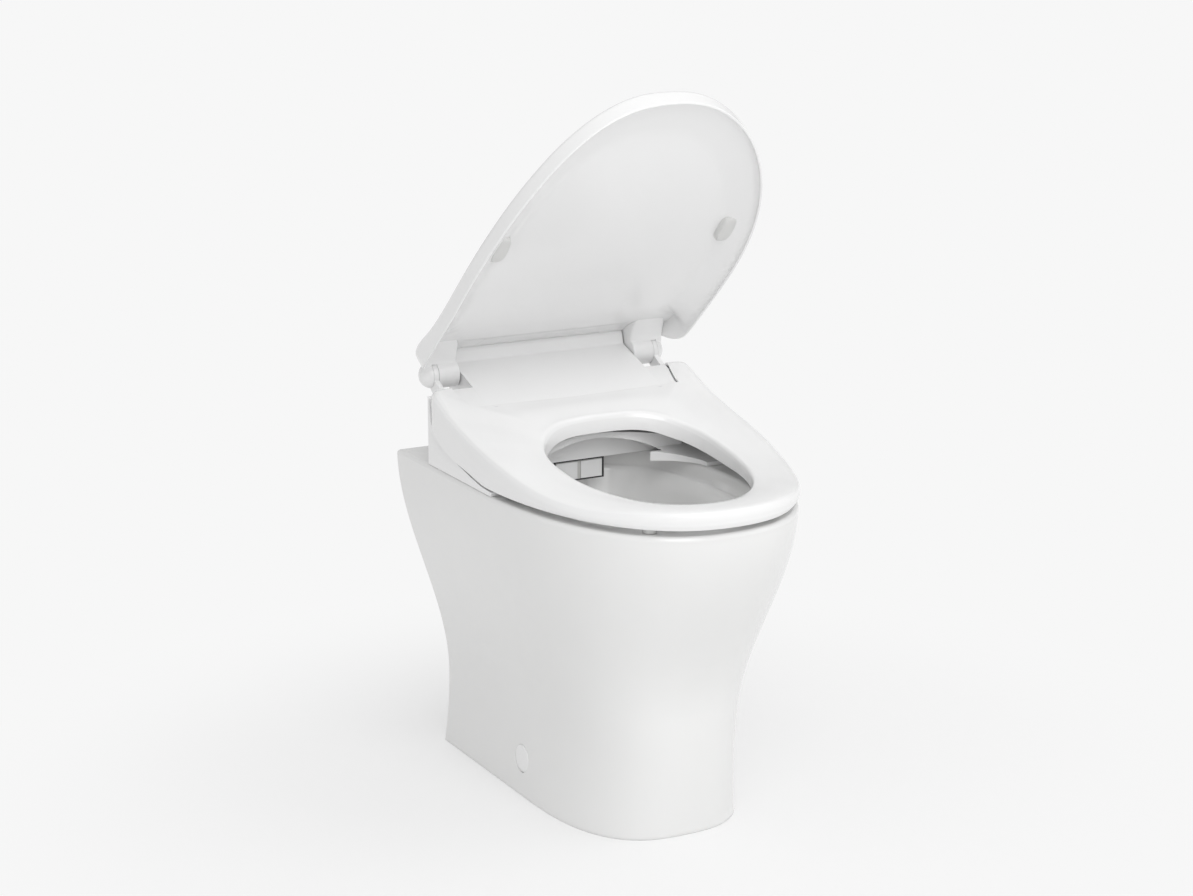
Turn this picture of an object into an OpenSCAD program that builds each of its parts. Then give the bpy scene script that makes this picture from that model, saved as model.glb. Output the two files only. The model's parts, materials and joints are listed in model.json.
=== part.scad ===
// Toilet with a bidet seat: ceramic pan, bidet unit, heated seat and lid.
// Millimetres. X to the right of someone facing the pan, -Y to the front, +Z up.
// The origin is on the floor, under the middle of the overall depth.

/* [Overall] */
// Depth from the wall to the front of the seat
depth = 563; // [545:1:600]
// Opening of the lid from shut, as stored
lid_open = 56.6; // [30:0.1:75]

/* [Pan] */
// Height of the ceramic rim and deck
pan_h = 421; // [400:1:450]
// Half width of the rim and deck
rim_half = 188; // [180:1:196]
// Half width at the waist of the skirt
waist_half = 116.5; // [105:0.5:130]
// Height of the waist at the sides
waist_z = 100; // [80:1:130]
// Spread of the foot beyond the waist at each side
foot_flare = 8; // [2:0.5:14]
// Distance of the rim's tip behind the seat's tip
rim_back = 10; // [6:1:20]
// Distance of the foot's tip behind the seat's tip
foot_back = 116; // [90:1:140]
// How far the front bulges past the foot's tip at mid height
belly = 13; // [4:1:20]
// Height of that bulge
belly_z = 157; // [130:1:180]
// Thickness of the skirt
skirt_wall = 12; // [9:0.5:15]
// Thickness of the deck and rim
deck_t = 20; // [15:1:26]
// Thickness of the bowl
bowl_wall = 10; // [8:0.5:13]
// Half width of the bowl's mouth
mouth_half = 127; // [118:1:134]
// Width of the ceramic rim at the front tip
rim_tip_w = 41; // [34:1:48]
// Distance from the wall to the back of the bowl's mouth
mouth_rear = 117; // [112:1:122]
// Distance from the wall to the middle of the sump
sump_rear = 222; // [205:1:240]
// Height of the sump's floor
sump_z = 98; // [90:1:120]
// Half width of the recess in the back of the skirt
back_gap = 88; // [75:1:95]

/* [Trap and inlet] */
// Radius of the trap's bore
trap_r = 27; // [24:0.5:30]
// Wall of the trap
trap_wall = 8; // [6:0.5:10]
// Height of the trap's entry
trap_in_z = 128; // [122:1:136]
// Distance from the wall to the trap's entry face
trap_in_rear = 165; // [160:1:172]
// Bend radius of the trap's first bend
bend_in_r = 42; // [40:1:46]
// Straight rise before the weir
trap_rise = 20; // [14:1:26]
// Bend radius over the weir and into the outlet
bend_out_r = 38; // [37:1:42]
// Radius of the outlet spigot
outlet_r = 51; // [48:0.5:55]
// Length of the outlet spigot
outlet_len = 30; // [25:1:36]
// Height of the flush inlet
inlet_z = 345; // [330:1:355]
// Bore radius of the flush inlet
inlet_r = 27.5; // [25:0.5:29]
// Wall of the flush inlet
inlet_wall = 6.5; // [5:0.5:8]

/* [Fixings] */
// Height of the side fixing screws
side_screw_z = 48; // [42:1:56]
// Distance from the wall to the side fixing screws
side_screw_rear = 224; // [200:1:240]
// Radius of the round side caps
side_cap_r = 18.5; // [15:0.5:21]
// Thickness of the side caps
side_cap_t = 3; // [2:0.5:4]
// Radius of the side fixing screws
side_screw_r = 3; // [2.5:0.5:4]
// Spacing of the two deck bolts
deck_bolt_pitch = 140; // [130:1:155]
// Distance from the wall to the deck bolts
deck_bolt_rear = 66; // [55:1:75]
// Radius of the deck bolts
deck_bolt_r = 4; // [3:0.5:5]
// Radius of the holes in the ceramic deck
deck_hole_r = 7.5; // [6.5:0.5:9]
// Radius of the floor screws
floor_screw_r = 3; // [2.5:0.5:4]

/* [Hinge] */
// Distance from the wall to the hinge line
hinge_rear = 57; // [55:1:60]
// Height of the hinge line above the deck
hinge_up = 108.5; // [106:0.5:109]
// Radius of the hinge shafts
shaft_r = 4; // [3:0.5:4]
// Running clearance of the hinge bores
run_gap = 0.06; // [0.03:0.01:0.09]
// Radius of the lid's hinge ears
ear_r = 18; // [16:0.5:19]

/* [Seat] */
// Half width of the seat
seat_half = 190; // [184:1:196]
// Gap between the rim and the underside of the seat
seat_lift = 6.8; // [5:0.1:9]
// Distance from the wall to the seat's back edge
seat_rear = 103; // [100:1:108]
// Wall of the seat's shells
seat_wall = 3.2; // [2.5:0.1:4]
// Distance from the wall to where the sides of the seat and lid start to curve in
side_rear = 235; // [225:1:250]
// How far the seat's side leans in towards its foot
seat_flare = 5; // [2:0.5:7]
// Half width of the seat's opening
hole_half = 115; // [105:1:120]
// Distance from the wall to the back of the opening
hole_rear = 215; // [208:1:225]
// Width of the seat at the front tip
seat_tip_w = 57; // [50:1:64]
// Height of the seat's bumpers
bumper_h = 6.3; // [4.5:0.1:6.5]

/* [Lid] */
// How far the lid's edge reaches past the seat's
lid_over = 4.2; // [4:0.1:5]
// Wall of the lid
lid_wall = 3.4; // [3:0.1:3.6]
// Length of the soft pads
pad_len = 40; // [30:1:46]
// Width of the soft pads
pad_w = 18; // [14:1:22]

/* [Bidet unit] */
// How far the unit's side wedges lie inside the seat's sides
unit_inset = 5; // [4:0.5:9]
// Half width of the unit behind the wedges
unit_back_half = 142; // [130:1:150]
// Wall of the unit's casing
unit_wall = 2.5; // [2:0.1:3.5]
// Distance from the wall to the back of the unit
unit_rear = 12; // [8:1:20]
// Distance from the wall to the back of the wedges
wedge_rear = 93; // [90:1:97]
// Distance from the wall to the tips of the wedges
wedge_tip = 275; // [265:1:285]
// Distance from the wall to the front edge of the cover panel
panel_front = 154; // [150:1:158]
// Height of the panel's front edge above the deck
panel_up = 82.4; // [78:0.2:86]
// Half width of the panel's front edge
panel_half = 150.8; // [146:0.2:154]
// Half width of the hump over the hinge line
hump_half = 127.2; // [122:0.2:127.5]
// Height of the hump's ridge above the deck
ridge_up = 137; // [134:0.5:140]
// Distance from the wall to the hump's ridge
ridge_rear = 39; // [37:0.5:42]

/* [Wands and fan] */
// Spacing of the two spray wands
wand_pitch = 36; // [34:1:42]
// Radius of a spray wand
wand_r = 6.5; // [5:0.25:7]
// Length of a spray wand
wand_len = 92; // [84:1:94]
// Slope of the wands below level
wand_slope = 35; // [30:1:40]
// Width of a nozzle door
door_w = 31; // [28:0.5:33]
// Height of a nozzle door
door_h = 22.5; // [20:0.5:24]
// Distance from the wall to the face of the doors
door_rear = 160; // [156:1:164]
// Distance from a resting wand's tip to its door
wand_back = 40; // [34:1:46]
// Radius of the dryer's impeller
fan_r = 26; // [20:1:28]
// Blades of the impeller
fan_blades = 14; // [8:1:20]

/* [Hidden] */
yw = depth / 2;
hinge_y = yw - hinge_rear;
hinge_z = pan_h + hinge_up;
gap = 0.3;
// Stations round the pan's outline, for half of it: back edge, side and front arc
back_n = 5;
side_n = 9;
front_n = 18;
half_n = back_n + side_n + front_n;

function smooth(u) = let (v = max(0, min(1, u))) v * v * (3 - 2 * v);
function mix(a, b, u) = a + (b - a) * u;
function backwards(list) = [for (k = [len(list) - 1 : -1 : 0]) list[k]];
function flip_x(p) = [-p[0], p[1], p[2]];
// Value at x of a curve through [x, value] pairs with rising x, with level tangents at its ends
function slope_at(t, i) =
    (i <= 0 || i >= len(t) - 1) ? 0 : (t[i + 1][1] - t[i - 1][1]) / (t[i + 1][0] - t[i - 1][0]);
function find_span(t, x, i = 0) = (i >= len(t) - 2 || x < t[i + 1][0]) ? i : find_span(t, x, i + 1);
function along(t, x) =
    let (q = max(t[0][0], min(t[len(t) - 1][0], x)),
         i = find_span(t, q),
         w = t[i + 1][0] - t[i][0],
         u = (q - t[i][0]) / w,
         a = t[i][1],
         b = t[i + 1][1],
         ma = slope_at(t, i) * w,
         mb = slope_at(t, i + 1) * w)
    a * (1 - 3 * u * u + 2 * u * u * u) + b * (3 * u * u - 2 * u * u * u)
    + ma * (u - 2 * u * u + u * u * u) + mb * (u * u * u - u * u);
// Radius of a superellipse of half widths a and b in the direction of angle t
function super_r(t, a, b, n) =
    pow(pow(abs(cos(t)) / a, n) + pow(abs(sin(t)) / b, n), -1 / n);

// A skin through rings of equal length, closed by fans to the poles at both ends
module skin(rings, first_pole, last_pole) {
    n = len(rings[0]);
    m = len(rings);
    points = concat([for (r = rings) for (p = r) p], [first_pole, last_pole]);
    faces = concat(
        [for (j = [0 : m - 2]) for (i = [0 : n - 1])
            [j * n + i, j * n + (i + 1) % n, (j + 1) * n + (i + 1) % n]],
        [for (j = [0 : m - 2]) for (i = [0 : n - 1])
            [j * n + i, (j + 1) * n + (i + 1) % n, (j + 1) * n + i]],
        [for (i = [0 : n - 1]) [m * n, (i + 1) % n, i]],
        [for (i = [0 : n - 1]) [m * n + 1, (m - 1) * n + i, (m - 1) * n + (i + 1) % n]]);
    polyhedron(points, faces);
}

// A skin round a ring of closed sections, each a list of points
module hoop(sections) {
    n = len(sections[0]);
    m = len(sections);
    points = [for (s = sections) for (p = s) p];
    faces = concat(
        [for (j = [0 : m - 1]) for (i = [0 : n - 1])
            [j * n + i, ((j + 1) % m) * n + (i + 1) % n, j * n + (i + 1) % n]],
        [for (j = [0 : m - 1]) for (i = [0 : n - 1])
            [j * n + i, ((j + 1) % m) * n + i, ((j + 1) % m) * n + (i + 1) % n]]);
    polyhedron(points, faces);
}

// A cylinder along X from x0 to x1, or along Y from y0 to y1
module rod_x(x0, x1, y, z, r) {
    translate([x0, y, z]) rotate([0, 90, 0]) cylinder(h = x1 - x0, r = r, $fn = 64);
}
module rod_y(y0, y1, x, z, r) {
    translate([x, y1, z]) rotate([90, 0, 0]) cylinder(h = y1 - y0, r = r, $fn = 64);
}
module rod_z(z0, z1, x, y, r) {
    translate([x, y, z0]) cylinder(h = z1 - z0, r = r, $fn = 64);
}
// A box from its low corner to its high corner
module box(lo, hi) {
    translate(lo) cube([hi[0] - lo[0], hi[1] - lo[1], hi[2] - lo[2]]);
}
// A side view in Y and Z, drawn as [y, z] points, given a width along X
module slab_x(x0, x1, pts) {
    translate([x0, 0, 0]) rotate([90, 0, 90]) linear_extrude(x1 - x0) polygon(pts);
}
// Two copies, mirrored across the middle
module both() {
    children();
    mirror([1, 0, 0]) children();
}

// Pan
function pan_up(z) = smooth((z - waist_z) / (pan_h - waist_z));
function pan_half(z) = z > waist_z
    ? mix(waist_half, rim_half, pan_up(z))
    : waist_half + foot_flare * pow((waist_z - z) / waist_z, 2);
function front_up(z) = smooth((z - belly_z) / (pan_h - belly_z));
function pan_tip(z) = let (foot = -yw + foot_back)
    z > belly_z
    ? mix(foot - belly, -yw + rim_back, front_up(z))
    : foot - belly + belly * pow((belly_z - z) / belly_z, 2);
function pan_arc(z) = mix(yw - 240, yw - 219, front_up(z));
function pan_n(z) = mix(2.78, 2.44, front_up(z));
// Plan point i of the pan at height z, set in by the given amount, for half the outline
function pan_pt(i, z, in) =
    let (w = pan_half(z) - in, y1 = yw - in, ya = pan_arc(z), n = pan_n(z), d = ya - pan_tip(z) - in)
    i < back_n ? [w * i / back_n, y1, z]
    : i < back_n + side_n ? [w, mix(y1, ya, (i - back_n) / side_n), z]
    : let (t = 90 * (i - back_n - side_n) / front_n)
        [w * pow(cos(t), 2 / n), ya - d * pow(sin(t), 2 / n), z];
function mirrored(half) =
    concat(half, [for (i = [len(half) - 2 : -1 : 1]) flip_x(half[i])]);
function pan_ring(z, in, z_out = undef) =
    mirrored([for (i = [0 : half_n]) let (p = pan_pt(i, z, in)) [p[0], p[1], is_undef(z_out) ? z : z_out]]);
// Mouth of the bowl: an egg about its own middle, drawn in towards the sump by k from 0 to 1
mouth_y = yw - 320;
function egg(t, grow) = super_r(t, mouth_half + grow,
    (sin(t) > 0 ? 320 - mouth_rear : depth - rim_back - rim_tip_w - 320) + grow, sin(t) > 0 ? 2.6 : 2.1);
function bowl_pt(i, z, k, grow) =
    let (p = pan_pt(i, pan_h, 0),
         t = i == 0 ? 90 : i == half_n ? -90 : atan2(p[1] - mouth_y, p[0]),
         r = egg(t, 0) * k + grow)
    [r * cos(t), mix(yw - sump_rear, mouth_y, k) + r * sin(t), z];
function bowl_ring(z, k, grow) = mirrored([for (i = [0 : half_n]) bowl_pt(i, z, k, grow)]);
// Depth of the bowl against how far it has drawn in
bowl_curve = [[0, 0], [0.22, 0.03], [0.36, 0.2], [0.5, 0.47], [0.68, 0.66], [0.84, 0.82], [0.94, 0.93]];
function bowl_z(s) = mix(sump_z, pan_h, s);
module pan_body() {
    outer = [for (z = [0, 25, 60, 100, 140, 180, 220, 260, 300, 340, 375, 400, 414]) pan_ring(z, 0)];
    rim = [pan_ring(pan_h, 1.5, pan_h - 2), pan_ring(pan_h, 5, pan_h)];
    mouth = [bowl_ring(pan_h, 1, 5), bowl_ring(pan_h - 2, 1, 1.5), bowl_ring(pan_h - 7, 1, 0),
             bowl_ring(pan_h - 22, 0.985, 0)];
    bowl = [for (i = [6 : -1 : 1]) bowl_ring(bowl_z(bowl_curve[i][1]), bowl_curve[i][0], 0)];
    below = [for (i = [1 : 4])
        bowl_ring(bowl_z(bowl_curve[i][1]) - bowl_wall * 0.4, bowl_curve[i][0], bowl_wall)];
    deck = [bowl_ring(pan_h - deck_t, 0.96, bowl_wall + 6)];
    inner = [for (z = [pan_h - deck_t, 340, 260, 180, 100, 40, 0]) pan_ring(z, skirt_wall)];
    skin(concat(below, deck, inner, outer, rim, mouth, bowl),
        [0, yw - sump_rear, sump_z - bowl_wall], [0, yw - sump_rear, sump_z]);
}
// The room inside the bowl, grown into its wall
module bowl_room(grow) {
    rings = concat([for (i = [1 : 6]) bowl_ring(bowl_z(bowl_curve[i][1]), bowl_curve[i][0], grow)],
        [bowl_ring(pan_h - 22, 0.985, grow), bowl_ring(pan_h + 5, 1, grow)]);
    skin(rings, [0, yw - sump_rear, sump_z - grow], [0, mouth_y, pan_h + 5]);
}
cap_x = pan_half(side_screw_z) - 0.4;
screw_y = yw - side_screw_rear;
bolt_y = yw - deck_bolt_rear;
module pan() {
    color("white") difference() {
        union() {
            pan_body();
            difference() {
                union() {
                    rod_y(yw - sump_rear, yw - trap_in_rear, 0, trap_in_z, trap_r + trap_wall);
                    rod_y(yw - mouth_rear - 48, yw - 34, 0, inlet_z, inlet_r + inlet_wall);
                }
                bowl_room(2);
            }
        }
        rod_y(yw - sump_rear, yw - trap_in_rear + 1, 0, trap_in_z, trap_r);
        rod_y(yw - mouth_rear - 60, yw, 0, inlet_z, inlet_r);
        box([-back_gap, yw - skirt_wall - 1, -1], [back_gap, yw + 1, 388]);
        both() rod_z(pan_h - deck_t - 20, pan_h + 1, deck_bolt_pitch / 2, bolt_y, deck_hole_r);
        both() rod_x(cap_x - side_cap_t, cap_x + 20, screw_y, side_screw_z, side_cap_r + 0.2);
        both() rod_x(cap_x - side_cap_t - 4.5, cap_x + 20, screw_y, side_screw_z, 9);
        both() rod_x(cap_x - 30, cap_x + 20, screw_y, side_screw_z, side_screw_r + 1.5);
    }
}

// Trap: a rise, a bend over the weir and a bend into the level outlet
out_turn = 60;
rise_y = yw - trap_in_rear + bend_in_r;
weir_z = trap_in_z + bend_in_r + trap_rise;
over_y = rise_y + bend_out_r;
drop_y = over_y + 2 * bend_out_r * cos(90 - out_turn);
outlet_z = weir_z + 2 * bend_out_r * sin(90 - out_turn) - bend_out_r;
// The trap's centre line as [y, z, heading], heading 0 towards the wall and 90 upwards
arc_n = 9;
trap_line = concat(
    [for (k = [0 : arc_n]) let (a = 90 * k / arc_n)
        [yw - trap_in_rear + bend_in_r * sin(a), trap_in_z + bend_in_r * (1 - cos(a)), a]],
    [for (k = [0 : arc_n + 4]) let (a = 90 - (90 + out_turn) * k / (arc_n + 4))
        [over_y - bend_out_r * sin(a), weir_z + bend_out_r * cos(a), a]],
    [for (k = [1 : arc_n - 2]) let (a = -out_turn * (1 - k / (arc_n - 2)))
        [drop_y + bend_out_r * sin(a), outlet_z + bend_out_r * (1 - cos(a)), a]],
    [[yw - outlet_len / 2, outlet_z, 0]]);
tube_n = 32;
function tube_row(turn, r) = [for (p = trap_line)
    [r * cos(turn), p[0] - r * sin(turn) * sin(p[2]), p[1] + r * sin(turn) * cos(p[2])]];
module trapway() {
    color("white") difference() {
        union() {
            hoop([for (k = [0 : tube_n - 1]) let (t = k * 360 / tube_n)
                concat(tube_row(t, trap_r + trap_wall), backwards(tube_row(t, trap_r)))]);
            rod_y(yw - outlet_len, yw, 0, outlet_z, outlet_r);
        }
        rod_y(yw - outlet_len + 4, yw + 1, 0, outlet_z, trap_r + 1);
        rod_y(yw - outlet_len - 1, yw - outlet_len + 5, 0, outlet_z, trap_r - 1);
    }
}
module inlet_seal() {
    color("dimgray") difference() {
        rod_y(yw - 60, yw - 26, 0, inlet_z, inlet_r - gap);
        rod_y(yw - 61, yw - 25, 0, inlet_z, inlet_r - 5);
    }
}

// Fixings inside the foot and under the deck
bracket_x = pan_half(side_screw_z) - skirt_wall - 2;
bracket_t = 6;
bracket_foot = 40;
floor_x = bracket_x - bracket_t - 20;
module floor_bracket() {
    difference() {
        slab_side(bracket_x - bracket_t, bracket_x, screw_y - 20, screw_y + 20);
        rod_x(bracket_x - 20, bracket_x + 5, screw_y, side_screw_z, side_screw_r + 0.1);
        rod_z(-1, bracket_t + 1, floor_x, screw_y, floor_screw_r + 0.3);
    }
}
module slab_side(x0, x1, y0, y1) {
    union() {
        box([x0, y0, 0], [x1, y1, side_screw_z + 18]);
        box([x1 - bracket_foot, y0, 0], [x1, y1, bracket_t]);
    }
}
module floor_brackets() { color("lightgray") both() floor_bracket(); }
module floor_screws() {
    color("silver") both() union() {
        rod_z(0, bracket_t + 1, floor_x, screw_y, floor_screw_r);
        rod_z(bracket_t, bracket_t + 4, floor_x, screw_y, 6);
    }
}
module side_screws() {
    color("silver") both() union() {
        rod_x(bracket_x - 14, cap_x - side_cap_t - 1, screw_y, side_screw_z, side_screw_r);
        rod_x(cap_x - side_cap_t - 4.5, cap_x - side_cap_t - 0.5, screw_y, side_screw_z, 6);
    }
}
module side_caps() {
    color("white") both() union() {
        rod_x(cap_x - side_cap_t, cap_x, screw_y, side_screw_z, side_cap_r);
        rod_x(cap_x, cap_x + 0.8, screw_y, side_screw_z, side_cap_r - 1);
    }
}
plate_t = 4;
plate_half = deck_bolt_pitch / 2 + 25;
module mounting_plate() {
    color("gainsboro") difference() {
        box([-plate_half, bolt_y - 22, pan_h], [plate_half, bolt_y + 26, pan_h + plate_t]);
        both() rod_z(pan_h - 1, pan_h + 9, deck_bolt_pitch / 2, bolt_y, deck_bolt_r + 0.3);
    }
}
module deck_bolts() {
    color("silver") both() union() {
        rod_z(pan_h - 58, pan_h + plate_t + 1, deck_bolt_pitch / 2, bolt_y, deck_bolt_r);
        rod_z(pan_h + plate_t, pan_h + plate_t + 4, deck_bolt_pitch / 2, bolt_y, 8);
    }
}
module deck_washers() {
    color("dimgray") both() difference() {
        rod_z(pan_h - deck_t - 4, pan_h - deck_t, deck_bolt_pitch / 2, bolt_y, 14);
        rod_z(pan_h - deck_t - 5, pan_h, deck_bolt_pitch / 2, bolt_y, deck_bolt_r + 0.3);
    }
}
module deck_nuts() {
    z = pan_h - deck_t - 4;
    color("gainsboro") both() difference() {
        union() {
            rod_z(z - 4, z, deck_bolt_pitch / 2, bolt_y, 13);
            translate([deck_bolt_pitch / 2, bolt_y, z - 16]) cylinder(h = 12, r = 9, $fn = 6);
        }
        rod_z(z - 20, z + 1, deck_bolt_pitch / 2, bolt_y, deck_bolt_r + 0.05);
    }
}

// Seat
seat_z = pan_h + seat_lift;
// Heights above the deck against the distance from the wall: top outer edge of the seat,
// underside of its outer wall, and the top and the underside of its inner wall
seat_edge = [[103, 101], [122, 94.5], [168, 77], [233, 60], [300, 46.5], [382, 31], [436, 25.5], [478, 25],
             [518, 28], [563, 30.5]];
seat_under = [[96, 90], [99, 66], [105, 53], [122, 43], [158, 27], [205, 16], [248, 8.2], [272, 6.8],
              [563, 6.8]];
hole_top = [[215, 72], [260, 58], [320, 44], [400, 33], [506, 27.5]];
hole_under = [[215, 47], [250, 35], [300, 23], [360, 17], [506, 15]];
function from_wall(y) = yw - y;
// Power of the curve round the front of the seat and lid
front_power = 2.25;
function seat_pt(t) =
    let (back = sin(t) > 0, reach = back ? side_rear - seat_rear : depth - side_rear,
         r = super_r(t, seat_half, reach, back ? 12 : front_power))
    [r * cos(t), yw - side_rear + r * sin(t)];
hole_y = yw - 325;
function hole_pt(p) =
    let (t = abs(p[0]) < 0.01 ? (p[1] > hole_y ? 90 : -90) : atan2(p[1] - hole_y, p[0]),
         back = sin(t) > 0,
         reach = back ? 325 - hole_rear : depth - seat_tip_w - 325,
         r = super_r(t, hole_half, reach, back ? 2.4 : 2.1))
    [r * cos(t), hole_y + r * sin(t)];
seat_n = 84;
crown = 3;
// A section of the seat at station t: its skin set in by the wall, with its foot lowered by drop
function seat_section(t, in, drop) =
    let (o = seat_pt(t), i = hole_pt(o), l = norm(o - i), u = (o - i) / l,
         a = in / l, b = 1 - in / l,
         lean = seat_flare * smooth((from_wall(o[1]) - 130) / 100) / l,
         zo = pan_h + along(seat_edge, from_wall(o[1])) - in,
         zi = pan_h + along(hole_top, from_wall(i[1])) - in,
         fo = pan_h + along(seat_under, from_wall(o[1])) - drop,
         fi = pan_h + along(hole_under, from_wall(i[1])) - drop,
         c = crown * (1 - max(0, sin(t))))
    [for (q = [[a, fi], [a, zi - 9], [a + 0.03, zi - 2.5], [a + 0.1, zi],
               [0.3, mix(zi, zo, 0.3) + c * 0.7], [0.55, mix(zi, zo, 0.55) + c],
               [0.8, mix(zi, zo, 0.8) + c * 0.8],
               [b - 0.06, zo + c * 0.2], [b - 0.015, zo - 2.5], [b, zo - 8], [b - lean, fo]])
        let (p = i + u * l * q[0]) [p[0], p[1], q[1]]];
module seat_skin(in, drop) {
    hoop([for (k = [0 : seat_n - 1]) seat_section(k * 360 / seat_n, in, drop)]);
}
panel_z = pan_h + panel_up;
cover_r = norm([hinge_rear - panel_front, panel_z - hinge_z]);
strip_half = panel_half + 7;
// Plan of the fixed cover: a front panel of half width a, widening to a strip of half width b
function cover_plan(a, b, front) = [
    [-a, front], [-a, yw - panel_front + 8], [-b, yw - seat_rear - 12], [-b, yw],
    [b, yw], [b, yw - seat_rear - 12], [a, yw - panel_front + 8], [a, front]];
// The room that the seat leaves for the fixed cover: a drum round the hinge line
module cover_room(grow) {
    intersection() {
        rod_x(-strip_half - grow - 1, strip_half + grow + 1, hinge_y, hinge_z, cover_r + 0.8 + grow);
        translate([0, 0, pan_h]) linear_extrude(150)
            polygon(cover_plan(panel_half + grow + 0.8, strip_half + grow + 0.8, yw - panel_front - 20));
    }
}
module seat_top() {
    color("white") difference() {
        seat_skin(0, 0);
        difference() {
            seat_skin(seat_wall, 8);
            cover_room(seat_wall);
        }
        cover_room(0);
        both() lug_bar(0.4);
    }
}
// Seat hinge arms: from the back of each side to the shaft
lug_in = 159.4;
lug_out = 166;
lug_r = 17;
module lug_bar(grow) {
    slab_x(lug_in - grow, lug_out + grow, [
        [yw - seat_rear - 19 - grow, seat_z + 38 - grow], [yw - seat_rear - 19 - grow, seat_z + 46 + grow],
        [yw - seat_rear - 9 - grow, seat_z + 78 + grow], [hinge_y - 11, hinge_z - 1 + grow],
        [hinge_y, hinge_z - 1 + grow], [hinge_y + 4, hinge_z - 11 - grow]]);
}
module seat_base() {
    color("white") difference() {
        union() {
            difference() {
                seat_floor();
                cover_room(seat_wall + gap);
            }
            both() lug_bar(0);
            both() rod_x(lug_in, lug_out, hinge_y, hinge_z, lug_r);
        }
        both() rod_x(lug_in - 1, lug_out + 1, hinge_y, hinge_z, shaft_r + run_gap);
    }
}
// The lower shell: a plate between the walls of the upper one
function floor_section(t) =
    let (o = seat_pt(t), i = hole_pt(o), l = norm(o - i), u = (o - i) / l,
         in = seat_wall + 2 * gap, a = in / l,
         b = 1 - a - seat_flare * smooth((from_wall(o[1]) - 130) / 100) / l,
         fo = pan_h + along(seat_under, from_wall(o[1])), fi = pan_h + along(hole_under, from_wall(i[1])))
    [for (q = [[a, mix(fi, fo, a)], [a, mix(fi, fo, a) + 3], [b, mix(fi, fo, b) + 3], [b, mix(fi, fo, b)]])
        let (p = i + u * l * q[0]) [p[0], p[1], q[1]]];
module seat_floor() {
    hoop([for (k = [0 : seat_n - 1]) floor_section(k * 360 / seat_n)]);
}

foil_t = 0.6;
// The foil lies under the top of the seat, a little inside its walls
function foil_row(t, drop) =
    let (o = seat_pt(t), i = hole_pt(o), l = norm(o - i), u = (o - i) / l,
         zo = pan_h + along(seat_edge, from_wall(o[1])) - drop,
         zi = pan_h + along(hole_top, from_wall(i[1])) - drop,
         c = crown * (1 - max(0, sin(t))))
    [for (q = [[0.33, 0.7], [0.55, 1], [0.78, 0.8]])
        let (p = i + u * l * q[0]) [p[0], p[1], mix(zi, zo, q[0]) + c * q[1]]];
module seat_heater() {
    under = seat_wall + 1;
    color("orange") difference() {
        hoop([for (k = [0 : seat_n - 1]) let (t = k * 360 / seat_n)
            concat(foil_row(t, under), backwards(foil_row(t, under + foil_t)))]);
        cover_room(seat_wall + 2);
    }
}
// Bumpers under the seat: two on each side
// As distance from the middle, distance from the wall, and top above the seat's underside
bumper_places = [[seat_half - 34, depth - 233, 2.1], [seat_half - 102, depth - 58, 0.5]];
module seat_bumpers() {
    color("gainsboro") both() for (p = bumper_places)
        rod_z(seat_z - bumper_h + 0.2, seat_z + p[2], p[0], yw - p[1], 9);
}

// Lid, drawn shut and then opened round the hinge line
lid_half = seat_half + lid_over;
lid_back = 42;
// Heights above the deck against the distance from the wall: the lid's edge and its top
lid_edge = [[42, 141], [50, 132], [58, 128], [66, 126], [72, 119], [80, 104], [90, 92.5], [103, 85.5],
            [156, 70.3], [232, 50.7], [306, 35.2], [380, 24.5], [455, 20.2], [515, 23], [545, 26.5],
            [567, 29]];
lid_top = [[42, 146], [62, 150], [80, 141], [103, 125], [156, 100], [232, 78], [306, 62], [380, 51.5],
           [455, 47.2], [515, 50], [545, 54], [567, 58]];
lid_n = 96;
function lid_pt(t) =
    let (back = sin(t) > 0, reach = back ? side_rear - lid_back : depth + lid_over - side_rear,
         r = super_r(t, lid_half, reach, back ? 8.5 : front_power))
    [r * cos(t), yw - side_rear + r * sin(t)];
lid_mid = yw - 240;
// Height of the lid's top face at a distance from the wall
function lid_at(r) = pan_h + along(lid_top, r);
// Point of the lid at station t, drawn in by k, at share h of the way from edge to top, set in by the wall
function lid_skin_pt(t, k, h, in) =
    let (p = lid_pt(t), c = [0, lid_mid], l = norm(p - c), q = c + (p - c) * k * (l - in) / l)
    [q[0], q[1], mix(pan_h + along(lid_edge, from_wall(p[1])), lid_at(from_wall(q[1])) - in, h)];
function lid_ring(k, h, in) = [for (i = [0 : lid_n - 1]) lid_skin_pt(i * 360 / lid_n, k, h, in)];
function lid_pole(in) = [0, lid_mid, lid_at(from_wall(lid_mid)) - in];
module lid_solid() {
    inner = [for (q = [[0.3, 1], [0.5, 1], [0.65, 1], [0.75, 1], [0.82, 0.99], [0.88, 0.97], [0.93, 0.92],
                       [0.965, 0.82], [0.988, 0.64], [1, 0.36], [1, 0]]) lid_ring(q[0], q[1], lid_wall)];
    outer = [for (q = [[1, 0], [1, 0.6], [0.995, 0.8], [0.98, 0.93], [0.955, 0.985], [0.92, 1], [0.86, 1],
                       [0.78, 1], [0.68, 1], [0.5, 1], [0.28, 1]]) lid_ring(q[0], q[1], 0)];
    skin(concat(backwards(outer), backwards(inner)), lid_pole(0), lid_pole(lid_wall));
}
module opened() {
    translate([0, hinge_y, hinge_z]) rotate([-lid_open, 0, 0]) translate([0, -hinge_y, -hinge_z]) children();
}
module lid_shell() { color("white") opened() lid_solid(); }
ear_in = 129;
ear_round = 156;
ear_end = 179;
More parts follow.
